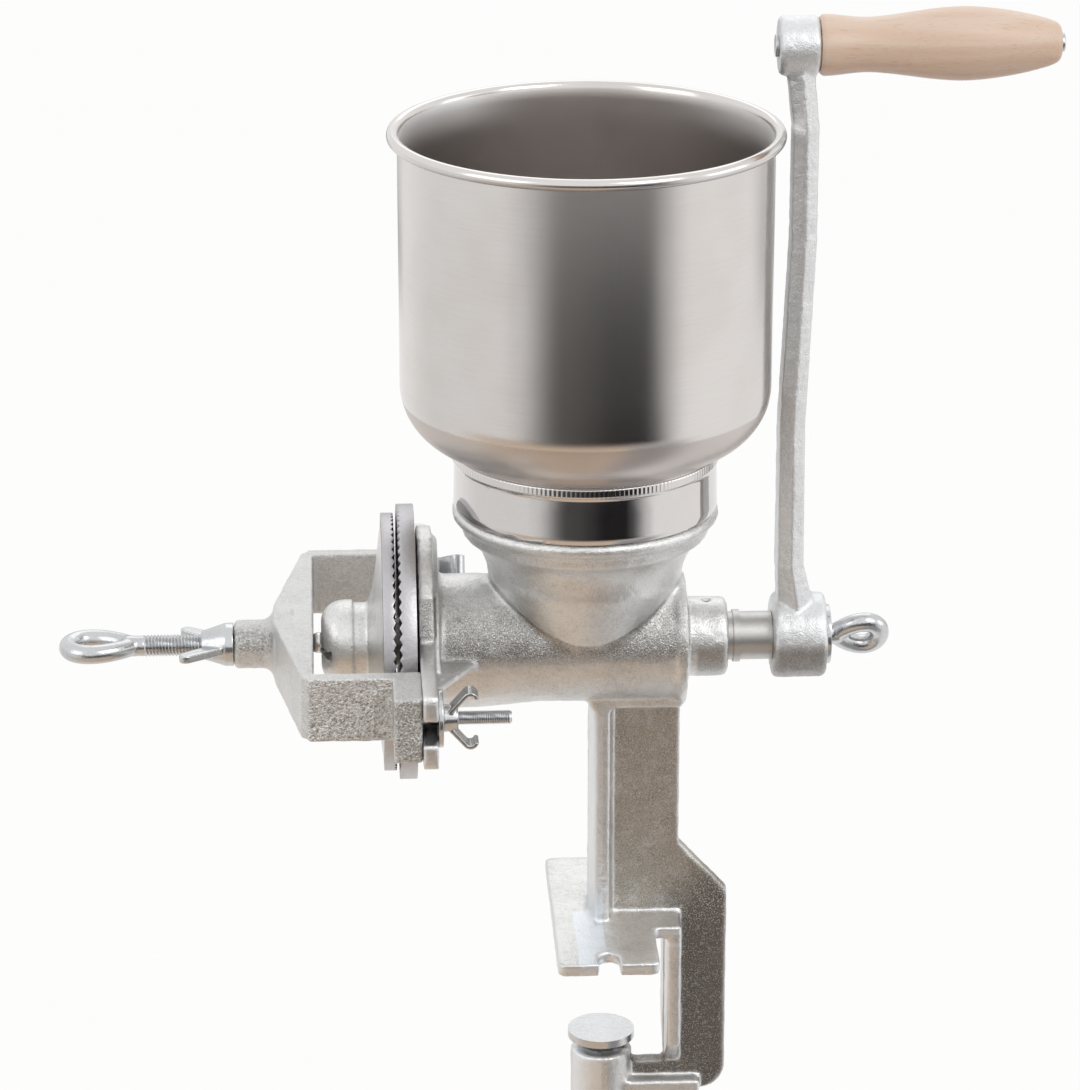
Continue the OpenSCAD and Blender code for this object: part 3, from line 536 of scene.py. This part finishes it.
# voxel is the remesh size in mm, rounds how often it is smoothed, uneven how far in mm the skin swells
body = {"voxel": 0.95, "rounds": 7, "uneven": 0.28}
yoke = {"voxel": 0.62, "rounds": 6, "uneven": 0.3}
arm = {"voxel": 0.62, "rounds": 10, "uneven": 0.3}
carrier = {"voxel": 0.5, "rounds": 4, "uneven": 0.12}
for name, node, bodyName, look, skin in (("millBody", "mill_body", "root", "castBody", body),
                                         ("yokeCasting", "yoke", "root", "castSandy", yoke),
                                         ("crankArm", "crank_arm", "rotor", "castArm", arm),
                                         ("burrCarrier", "burr_carrier", "rotor", "castBright", carrier)):
    fit(name, cast(node, **skin), bodyName, "tinned_casting", finishes[look], node)
print("castings made")

burrs = {"toothDepth": 1.05, "toothPoints": 6, "eye": 19.5, "dish": 1.2, "faceRings": 8,
         "fixed": {"radius": 52.2, "back": -64.5, "face": -71.0, "edge": 0.25, "teeth": 82},
         "turning": {"radius": 48.9, "back": -76.9, "face": -72.2, "edge": 0.25, "teeth": 74}}


# A burr is a set of (radius, place, tooth share) rings whose face rings rise and fall with the teeth. side is
# the way the face looks along x.
def burrShape(b, side):
    rim, back, face, edge = b["radius"], b["back"], b["face"], b["edge"]
    depth, eye, points = burrs["toothDepth"], burrs["eye"], burrs["toothPoints"]
    steps = b["teeth"] * points
    rings = [(eye, back, 0), (eye + 0.4, face - side * depth * 2.2, 0)]
    for k in range(burrs["faceRings"] + 1):
        share = k / burrs["faceRings"]
        radius = eye + 1.2 + (rim - edge - eye - 1.2) * share
        dip = burrs["dish"] * (1 - share) ** 2
        rings.append((radius, face - side * dip, 0.35 + 0.65 * min(1, share * 1.5)))
    rings += [(rim - edge * 0.3, face - side * edge * 0.15, 1), (rim, face - side * edge, 1),
              (rim, face - side * depth * 1.6, 0)]
    rings += [(rim, back + side * edge, 0), (rim - edge * 0.3, back + side * edge * 0.3, 0),
              (rim - edge, back, 0)]
    verts = []
    for radius, x, share in rings:
        for k in range(steps):
            a = math.tau * k / steps
            wave = abs((k % points) / (points / 2) - 1)
            push = -side * depth * share * (1 - wave)
            spot = (x + push, radius * math.cos(a), shaftHeight + radius * math.sin(a))
            verts.append(tuple(c * mm for c in spot))
    faces = []
    for i in range(len(rings)):
        j = (i + 1) % len(rings)
        for k in range(steps):
            n = (k + 1) % steps
            faces.append([i * steps + k, i * steps + n, j * steps + n, j * steps + k])
    return verts, faces


for name, key, node, side, bodyName in (("fixedBurr", "fixed", "stationary_burr", -1, "root"),
                                        ("turningBurr", "turning", "rotating_burr", 1, "rotor")):
    mesh = asMesh(name, burrShape(burrs[key], side), sharp=35)
    fit(name, mesh, bodyName, "burr_iron", finishes["burrIron"], node)
print("burrs cut")

collar = {"radius": 49.5, "top": 195.5, "seamOut": 50.2, "seamHeight": 4.6, "seamRound": 1.1, "seat": 173.05,
          "crimps": 184, "crimpDepth": 0.0016, "crimpRows": (3, 12), "spigot": 45.9, "spigotBottom": 168}


# The outline runs up the outside, round the bead and down the inside
def makeBucket():
    wall, rim, bead = bucket["wall"], bucket["rim"], bucket["bead"]
    footRadius, height = bucket["footRadius"], bucket["shoulderHeight"]
    inner = wall - bucket["sheet"]
    middle = wall - bucket["shoulder"]
    line = [(footRadius, bucket["foot"])] + arc(middle, height, bucket["shoulder"], -60, 0, steps=18)
    line += [(wall + spread, z) for spread, z in bucket["flare"]] + [(wall + 0.1, rim - bead * 0.86)]
    line += arc(bucket["beadRadius"], rim, bead, -128, 170, steps=22)
    line += [(inner + 0.15, rim - 1.2), (inner, rim - 4)] + [(inner, z) for z in bucket["insideHeights"]]
    line += arc(middle, height, bucket["shoulder"] - bucket["sheet"], 0, -60, steps=18)
    line.append((footRadius - bucket["sheet"], bucket["foot"] + 0.2))
    return asMesh("hopperBucket", lathe(line, "z", (0, 0, 0), turns=192, loop=True), sharp=50)


# The outline runs down the crimped seam and the band to the seat, round the spigot and up inside
def makeCollar():
    radius, top, seat, spigot = collar["radius"], collar["top"], collar["seat"], collar["spigot"]
    low, bottom = top - collar["seamHeight"], collar["spigotBottom"]
    middle = collar["seamOut"] - collar["seamRound"]
    line = [(radius - 1.6, top), (radius + 0.1, top)]
    line += arc(middle, top - 1.3, collar["seamRound"], 70, -10, steps=5)
    line += arc(middle, low + 1.3, collar["seamRound"], 10, -60, steps=5)
    line += [(radius - 0.35, low - 0.3), (radius - 0.3, low - 1.2), (radius - 0.15, 184), (radius, 176),
             (radius + 0.1, seat + 0.9), (radius - 0.2, seat + 0.15), (radius - 0.8, seat), (spigot, seat),
             (spigot, bottom), (spigot - 0.9, bottom), (spigot - 0.9, seat + 1), (radius - 1.6, seat + 2)]
    turns = collar["crimps"] * 4
    verts, faces = lathe(line, "z", (0, 0, 0), turns, loop=True)
    first, last = collar["crimpRows"]
    for i, (x, y, z) in enumerate(verts):
        row = i // turns
        if first <= row <= last:
            swing = math.sin(math.pi * (row - first + 1) / (last - first + 2))
            dip = 1 - collar["crimpDepth"] * abs((i % 4) - 2) * swing
            verts[i] = (x * dip, y * dip, z)
    return asMesh("hopperCollar", (verts, faces), sharp=50)


fit("hopperBucket", makeBucket(), "hopper", "satin_steel", finishes["satinSteel"], "hopper_bucket")
fit("hopperCollar", makeCollar(), "hopper", "polished_steel", finishes["mirrorSteel"], "hopper_collar")
print("hopper turned")

# fine is the step along a thread in pitches and plain the least step elsewhere in mm; crest is the flat
# share of a thread's top, and flanks the share of its two slopes
thread = {"fine": 0.17, "plain": 0.4, "crest": 0.12, "flanks": 0.76}


# A threaded rod from (place, radius, thread) rows along its axis: thread runs from 0, plain, to 1, full depth
def threadedRod(rows, axis, centre, pitch, depth, turns):
    places = []
    for (p0, r0, t0), (p1, r1, t1) in zip(rows, rows[1:]):
        step = thread["fine"] * pitch if (t0 and t1) else max(thread["plain"], abs(p1 - p0) / 3)
        count = max(1, round(abs(p1 - p0) / step))
        places += [(p0 + (p1 - p0) * k / count, r0 + (r1 - r0) * k / count, t0 + (t1 - t0) * k / count)
                   for k in range(count)]
    places.append(rows[-1])
    line = [(0, places[0][0])] + [(r, p) for p, r, t in places] + [(0, places[-1][0])]
    verts, faces = lathe(line, "z", (0, 0, 0), turns)
    done = []
    for i, (x, y, z) in enumerate(verts):
        radius = math.hypot(x, y) / mm
        if radius > 1e-4:
            t = places[min(len(places) - 1, (i - 1) // turns)][2]
            a = math.atan2(y, x)
            phase = (z / mm / pitch - a / math.tau) % 1
            cut = depth * t * max(0, min(1, (abs(phase - 0.5) * 2 - thread["crest"]) / thread["flanks"]))
            k = (radius - cut) / radius
            x, y = x * k, y * k
        spot = (z, x, y) if axis == "x" else (x, y, z)
        done.append(tuple(s + c * mm for s, c in zip(spot, centre)))
    return done, faces


# A round bar bent along a closed line of points in mm, each with its own radius
def bentBar(points, radii, sides):
    points = [Vector(p) for p in points]
    count = len(points)
    verts, faces = [], []
    normal = None
    for i in range(count):
        tangent = (points[(i + 1) % count] - points[i - 1]).normalized()
        if normal is None:
            normal = tangent.orthogonal().normalized()
        normal = (normal - tangent * normal.dot(tangent)).normalized()
        across = tangent.cross(normal)
        for k in range(sides):
            a = math.tau * k / sides
            out = normal * math.cos(a) * radii[i] + across * math.sin(a) * radii[i]
            verts.append(tuple((points[i] + out) * mm))
            j, n = (i + 1) % count, (k + 1) % sides
            faces.append([i * sides + k, i * sides + n, j * sides + n, j * sides + k])
    return verts, faces


# pinch draws a forged eye in at its neck, full sets how far it opens; its bar is slim at the neck and swells
# towards the far end
eyes = {"steps": 72, "sides": 26, "pinch": 0.8, "full": 1.12, "slim": 0.92, "swell": 0.08}


# A forged eye, a teardrop of bar that runs from its neck to its far end along x and opens along v
def forgedEye(neck, far, half, wire, v, centre):
    points, radii = [], []
    for k in range(eyes["steps"]):
        t = math.tau * (k + 0.5) / eyes["steps"]
        along = neck + (far - neck) * (1 - math.cos(t)) / 2
        aside = half * math.sin(t) * abs(math.sin(t / 2)) ** eyes["pinch"] * eyes["full"]
        points.append((along + centre[0], aside * v[0] + centre[1], aside * v[1] + centre[2]))
        radii.append(wire * (eyes["slim"] + eyes["swell"] * math.sin(t / 2)))
    return bentBar(points, radii, eyes["sides"])


# Fuses a shape's parts into one skin and rounds it
def fused(shape, voxel, rounds):
    rough = addToScene("rough", asMesh("rough", shape))
    done = remeshed(rough, voxel, rounds)
    bpy.data.objects.remove(rough)
    shape = [tuple(v.co) for v in done.vertices], [list(f.vertices) for f in done.polygons]
    bpy.data.meshes.remove(done)
    return shape


# In mm: half is half of an eye's width and wire the radius of its bar; depth is that of the thread; voxel and
# rounds are the remesh that forges the eye to its neck. lean is in degrees.
adjuster = {"radius": 4.2, "tip": -104.9, "shank": 66, "far": -199.1, "neck": -169.5, "half": 10.6,
            "wire": 3.7, "pitch": 1.25, "depth": 0.62, "voxel": 0.42, "rounds": 8}
studs = {"radius": 2.6, "start": -74.2, "frontEnd": -31.1, "rearEnd": -44.9, "y": 78,
         "pitch": 0.8, "depth": 0.42}
crankScrew = {"radius": 3.2, "start": 76.1, "ring": 93.3, "far": 116.2, "neck": 96.5, "half": 7.3,
              "wire": 3.75, "lean": 30, "pitch": 1.0, "depth": 0.5, "voxel": 0.32, "rounds": 7}
clampScrew = {"radius": 5, "x": 7, "top": -49, "bottom": -117.5, "far": -145.6, "neck": -116, "half": 11.5,
              "wire": 3.9, "pitch": 2, "depth": 0.95, "voxel": 0.45, "rounds": 8}
shaftAxis = (0, 0, shaftHeight)


def makeAdjuster():
    a, r = adjuster, adjuster["radius"]
    root = a["tip"] - a["shank"]
    rows = [(a["tip"], r - 1.2, 0), (a["tip"] - 1.2, r, 0), (a["tip"] - 1.6, r, 1), (root + 4.5, r, 1),
            (root + 3.5, r - 0.3, 0), (root + 1, r - 0.4, 0)]
    rod = threadedRod(rows, "x", shaftAxis, a["pitch"], a["depth"], turns=36)
    half, wire = a["half"], a["wire"]
    eye = forgedEye(a["neck"] - wire * 0.4, a["far"] + wire, half - wire * 0.4, wire, (1, 0), shaftAxis)
    cone = [(0, root + 2), (r - 0.3, root + 2), (r - 0.1, root - 3), (0, root - 7)]
    neck = lathe(cone, "x", shaftAxis, turns=40)
    handle = fused(joined(eye, neck), a["voxel"], a["rounds"])
    return asMesh("adjustingScrew", joined(rod, handle), sharp=50)


def makeStud(name, y, end):
    start, r = studs["start"], studs["radius"]
    rows = [(start, r - 0.5, 0), (start + 0.5, r, 0), (start + 12, r, 0), (start + 13, r, 1),
            (end - 0.7, r, 1), (end, r - 0.7, 0)]
    rod = threadedRod(rows, "x", (0, y, shaftHeight), studs["pitch"], studs["depth"], turns=32)
    return asMesh(name, rod, sharp=50)


def makeCrankScrew():
    c, r, ring = crankScrew, crankScrew["radius"], crankScrew["ring"]
    rows = [(c["start"], r - 0.8, 0), (c["start"] + 0.8, r, 1), (ring - 2, r, 1), (ring, r, 0)]
    rod = threadedRod(rows, "x", shaftAxis, c["pitch"], c["depth"], turns=32)
    lean = math.radians(c["lean"])
    eye = forgedEye(c["neck"] - c["wire"] * 0.3, c["far"] - c["wire"], c["half"], c["wire"],
                    (-math.sin(lean), math.cos(lean)), shaftAxis)
    cone = [(0, ring), (4.3, ring), (3.9, ring + 2), (3.6, ring + 4), (0, ring + 9)]
    neck = lathe(cone, "x", shaftAxis, turns=40)
    handle = fused(joined(eye, neck), c["voxel"], c["rounds"])
    return asMesh("crankScrew", joined(rod, handle), sharp=50)


def makeClampScrew():
    c, r, top, bottom = clampScrew, clampScrew["radius"], clampScrew["top"], clampScrew["bottom"]
    axis = (c["x"], 0, 0)
    rows = [(top, r - 0.8, 0), (top - 0.8, r, 0), (top - 4, r, 0), (top - 5, r, 1), (bottom + 4, r, 1),
            (bottom + 3, r - 0.3, 0), (bottom + 1, r - 0.3, 0)]
    rod = threadedRod(rows, "z", axis, c["pitch"], c["depth"], turns=40)
    eye = forgedEye(c["neck"], c["far"] + c["wire"], c["half"], c["wire"], (1, 0), (0, 0, 0))
    upright = [(y + c["x"] * mm, z, x) for x, y, z in eye[0]], eye[1]
    cone = [(0, bottom + 2), (r - 0.2, bottom + 2), (r - 0.2, bottom - 3), (0, bottom - 7)]
    neck = lathe(cone, "z", axis, turns=40)
    handle = fused(joined(upright, neck), c["voxel"], c["rounds"])
    return asMesh("clampScrew", joined(rod, handle), sharp=50)


# In mm: x is the washer's left face, y its axis, and hole the radius of its bore
washers = {"thick": 1.8, "edge": 0.35,
           "washerFront": {"x": -57.85, "y": -78, "radius": 10.7, "hole": 2.66},
           "washerRear": {"x": -57.85, "y": 78, "radius": 10.7, "hole": 2.66},
           "crankWasher": {"x": 91.45, "y": 0, "radius": 11.3, "hole": 3.26}}


def makeWasher(name):
    w, thick, edge = washers[name], washers["thick"], washers["edge"]
    line = rounded([(w["hole"], w["x"], 0), (w["radius"], w["x"], edge), (w["radius"], w["x"] + thick, edge),
                    (w["hole"], w["x"] + thick, 0)], steps=4)
    return asMesh(name, lathe(line, "x", (0, w["y"], shaftHeight), turns=72, loop=True))


# The nuts are remeshed and smoothed like the castings, but finely
wingNut = {"voxel": 0.3, "rounds": 4, "uneven": 0.05}
lockNut = {"voxel": 0.36, "rounds": 4, "uneven": 0.05}

for name, mesh, bodyName, node in (
        ("adjustingScrew", makeAdjuster(), "adjuster", "adjusting_screw"),
        ("studFront", makeStud("studFront", -studs["y"], studs["frontEnd"]), "root", "yoke_stud_front"),
        ("studRear", makeStud("studRear", studs["y"], studs["rearEnd"]), "root", "yoke_stud_rear"),
        ("crankScrew", makeCrankScrew(), "crank_screw", "crank_screw"),
        ("clampScrew", makeClampScrew(), "clamp_screw", "clamp_screw"),
        ("washerFront", makeWasher("washerFront"), "front_washer", "washer_front"),
        ("washerRear", makeWasher("washerRear"), "rear_washer", "washer_rear"),
        ("crankWasher", makeWasher("crankWasher"), "crank_washer", "crank_washer"),
        ("wingNutFront", cast("wing_nut_front", **wingNut), "front_nut", "wing_nut_front"),
        ("wingNutRear", cast("wing_nut_rear", **wingNut), "rear_nut", "wing_nut_rear"),
        ("lockNut", cast("lock_nut", **lockNut), "locknut", "lock_nut")):
    fit(name, mesh, bodyName, "zinc_plate", finishes["zincPlate"], node)
print("screws cut")

# outline gives the share of the grip's largest radius at shares of its length
grip = {"start": 84.85, "length": 88.4, "height": 347.5, "bore": 3.06, "radius": 13.45,
        "outline": [(0, 0.76), (0.006, 0.80), (0.02, 0.835), (0.07, 0.815), (0.13, 0.77), (0.19, 0.745),
                    (0.24, 0.76), (0.30, 0.80), (0.38, 0.87), (0.47, 0.95), (0.57, 1.0), (0.66, 0.985),
                    (0.77, 0.90), (0.86, 0.79), (0.93, 0.675), (0.965, 0.60), (0.985, 0.53),
                    (0.996, 0.44), (1.0, 0.34)]}
gripBolt = {"left": 69.8, "right": 173.35, "radius": 3.0, "head": 4.4, "headHeight": 1.2, "rivet": 3.55,
            "rivetHeight": 1.15}


# A smooth line through (place, share) points
def eased(points, steps):
    line = []
    for i in range(len(points) - 1):
        a, b, c, d = (points[max(0, min(len(points) - 1, i + k))] for k in (-1, 0, 1, 2))
        for k in range(steps):
            t = k / steps
            row = []
            for m in (0, 1):
                bend = 2 * a[m] - 5 * b[m] + 4 * c[m] - d[m]
                twist = 3 * b[m] - a[m] - 3 * c[m] + d[m]
                row.append(0.5 * (2 * b[m] + (c[m] - a[m]) * t + bend * t * t + twist * t ** 3))
            line.append(tuple(row))
    return line + [points[-1]]


def makeGrip():
    start, length, bore = grip["start"], grip["length"], grip["bore"]
    line = [(bore, start)]
    outline = eased(grip["outline"], steps=5)
    line += [(share * grip["radius"], start + along * length) for along, share in outline]
    line.append((bore, start + length))
    return asMesh("gripHandle", lathe(line, "x", (0, 0, grip["height"]), turns=96, loop=True))


def makeGripBolt():
    left, right, r = gripBolt["left"], gripBolt["right"], gripBolt["radius"]
    start, end = left - gripBolt["headHeight"], right + gripBolt["rivetHeight"]
    line = rounded([(0, start, 0), (gripBolt["head"], start, 0.7), (gripBolt["head"] - 0.4, left + 0.05, 0),
                    (r, left + 0.1, 0), (r, right, 0), (gripBolt["rivet"], right, 0),
                    (gripBolt["rivet"] - 0.05, end, 0.6), (0, end, 0)], steps=5)
    return asMesh("gripBolt", lathe(line, "x", (0, 0, grip["height"]), turns=48), sharp=35)


fit("gripHandle", makeGrip(), "handle", "beech", finishes["beech"], "grip")
fit("gripBolt", makeGripBolt(), "rotor", "zinc_plate", finishes["zincPlate"], "grip_bolt")
print("grip turned")

# Stage in metres: a pale floor, a white studio world, and four soft lamps, each with its place, size and
# power. ambient is the world's strength for diffuse rays and shown that for others; inMirrors and inView are
# the floor's glow in reflections and in plain sight.
stage = {"floor": -0.1475, "radius": 6.0, "colour": (0.36, 0.26, 0.19), "glow": 1.03,
         "inMirrors": 0.88, "inView": 0.94, "ambient": 0.62, "shown": 0.96, "lampAim": (0, 0, 0.15),
         "lamps": {"key": ((1.0, -1.3, 1.5), 1.0, 8), "fill": ((-1.4, -0.9, 1.0), 1.2, 3.5),
                   "back": ((0.2, 1.5, 1.4), 1.2, 2.5), "side": ((1.5, -0.2, 0.5), 0.8, 1.6)}}
# Screens lie on the floor round the mill, and some rise at their far edge. Only reflections see them. turn is
# a screen's two sides in degrees from +x, and soft how wide each fades. near, far and top are where its edges
# start and end in metres, rise and height how far it stands up and lies above the floor, and depth how much
# of it shows.
screens = {"warmMat": {"turn": (208, 286), "soft": (35, 16), "near": (0.0, 0.0), "far": (0.62, 0.95),
                       "rise": 0.0, "height": 0.001, "depth": 0.8, "tone": (0.60, 0.43, 0.285)},
           "tanMat": {"turn": (120, 212), "soft": (25, 30), "near": (0.0, 0.0), "far": (0.45, 0.8),
                      "rise": 0.0, "height": 0.003, "depth": 0.45, "tone": (0.72, 0.64, 0.54)},
           "coolMat": {"turn": (300, 322), "soft": (14, 26), "near": (0.0, 0.0), "far": (0.45, 0.8),
                       "rise": 0.0, "height": 0.002, "depth": 0.75, "tone": (0.13, 0.12, 0.125)},
           "front": {"turn": (257, 302), "soft": (42, 30), "near": (0.5, 0.8), "far": (1.7, 1.9),
                     "rise": 0.62, "top": (0.34, 0.6), "height": 0.004, "depth": 1.0,
                     "tone": (0.018, 0.017, 0.018)},
           "left": {"turn": (165, 255), "soft": (40, 30), "near": (0.5, 0.8), "far": (1.7, 1.9),
                    "rise": 0.9, "top": (0.3, 0.85), "height": 0.006, "depth": 0.2,
                    "tone": (0.3, 0.29, 0.28)},
           "rear": {"turn": (50, 100), "soft": (30, 30), "near": (1.2, 1.5), "far": (1.7, 1.9),
                    "rise": 0.5, "top": (0.15, 0.45), "height": 0.008, "depth": 0.62,
                    "tone": (0.10, 0.098, 0.095)}}
screenMesh = {"rings": 6, "steps": 48, "lip": 0.01}
thinned = {"radius": (1.35, 1.75), "height": (0.02, 0.12), "share": 0.4}  # where a rising screen is fainter
waver = {"scale": 2.4, "turn": 0.3}  # how its sides wander


def isRay(paint, kind):
    return paint.add("ShaderNodeLightPath", out=kind)


def mixSurface(paint, share, first, second):
    mix = paint.add("ShaderNodeMixShader", None, {0: share, 1: first, 2: second})
    paint.put(paint.tree.nodes["Material Output"].inputs["Surface"], mix)
    paint.owner.cycles.emission_sampling = "NONE"


# How much of a screen shows at each place, from 0 to 1. first and last are its sides in degrees, with their
# soft edges
def screenShare(paint, card, first, last):
    x, y, z = paint.split(paint.place())
    radius = (x * x + y * y) ** 0.5
    if card["rise"]:
        floor = stage["floor"]
        share = (radius.above(*card["near"]) * z.below(*(floor + t for t in card["top"]))).kept()
        low = z.below(*(floor + t for t in thinned["height"]))
        share = share * (1 - radius.above(*thinned["radius"]) * low * thinned["share"])
    else:
        share = radius.below(*card["far"])
    middle, half = math.radians((first + last) / 2), math.radians((last - first) / 2)
    along, aside = x * math.cos(middle) + y * math.sin(middle), y * math.cos(middle) - x * math.sin(middle)
    angle = aside.maths("ARCTAN2", aside, along) + (paint.grain(waver["scale"], 2, 0.5) - 0.5) * waver["turn"]
    share = share * angle.above(-half, -half + math.radians(card["soft"][0]))
    return share * angle.below(half - math.radians(card["soft"][1]), half)


def makeScreen(name, card):
    first, last = card["turn"][0] - card["soft"][0], card["turn"][1] + card["soft"][1]
    near, far = card["near"][0], card["far"][1]
    rings, steps = screenMesh["rings"], screenMesh["steps"]
    rows = [(near + (far - near) * k / rings, card["height"]) for k in range(rings + 1)]
    rows.append((far + screenMesh["lip"], card["height"] + card["rise"]))
    verts, faces = [], []
    for radius, height in rows:
        for k in range(steps + 1):
            a = math.radians(first + (last - first) * k / steps)
            verts.append((radius * math.cos(a), radius * math.sin(a), stage["floor"] + height))
    for i in range(len(rows) - 1):
        for k in range(steps):
            n = i * (steps + 1) + k
            faces.append([n, n + 1, n + steps + 2, n + steps + 1])
    mesh = bpy.data.meshes.new(name)
    mesh.from_pydata(verts, [], faces)
    paint = newPaint(name)
    clear = paint.add("ShaderNodeBsdfTransparent")
    shade = paint.add("ShaderNodeEmission", None, {"Color": card["tone"], "Strength": 1.0})
    share = screenShare(paint, card, first, last) * isRay(paint, "Is Glossy Ray") * card["depth"]
    mixSurface(paint, share, clear, shade)
    mesh.materials.append(paint.owner)
    addToScene(name, mesh)


def makeFloor():
    disc = lathe([(0, 0), (stage["radius"] / mm, 0)], "z", (0, 0, stage["floor"] / mm), turns=64)
    mesh = asMesh("floor", disc)
    paint = newPaint("paleFloor", baseColor=stage["colour"], roughness=0.9)
    glow = paint.add("ShaderNodeEmission", None, {"Color": (1, 1, 1), "Strength": stage["glow"]})
    mirrored, seen = isRay(paint, "Is Glossy Ray"), isRay(paint, "Is Camera Ray")
    share = (mirrored * stage["inMirrors"]).over(seen * stage["inView"])
    mixSurface(paint, share, Wire(paint, paint.shader.outputs[0]), glow)
    mesh.materials.append(paint.owner)
    addToScene("floor", mesh)


def lightStudio():
    studio = Paint(bpy.data.worlds.new("studio"), "Background", color=(1, 1, 1))
    level = studio.add("ShaderNodeMapRange", None, {"Value": isRay(studio, "Is Diffuse Ray"),
                                                    "To Min": stage["shown"], "To Max": stage["ambient"]})
    studio.set(strength=level.over(isRay(studio, "Is Camera Ray")))
    studio.owner.cycles.sampling_method = "NONE"
    bpy.context.scene.world = studio.owner
    for name, (place, size, power) in stage["lamps"].items():
        lamp = bpy.data.lights.new(name, "AREA")
        lamp.size, lamp.energy = size, power
        ob = addToScene(name, lamp)
        ob.location = place
        ob.rotation_euler = (Vector(stage["lampAim"]) - Vector(place)).to_track_quat("-Z", "Y").to_euler()


makeFloor()
lightStudio()
for name, card in screens.items():
    makeScreen(name + "Screen", card)
bpy.context.scene.view_settings.view_transform = "Standard"
print("stage dressed")
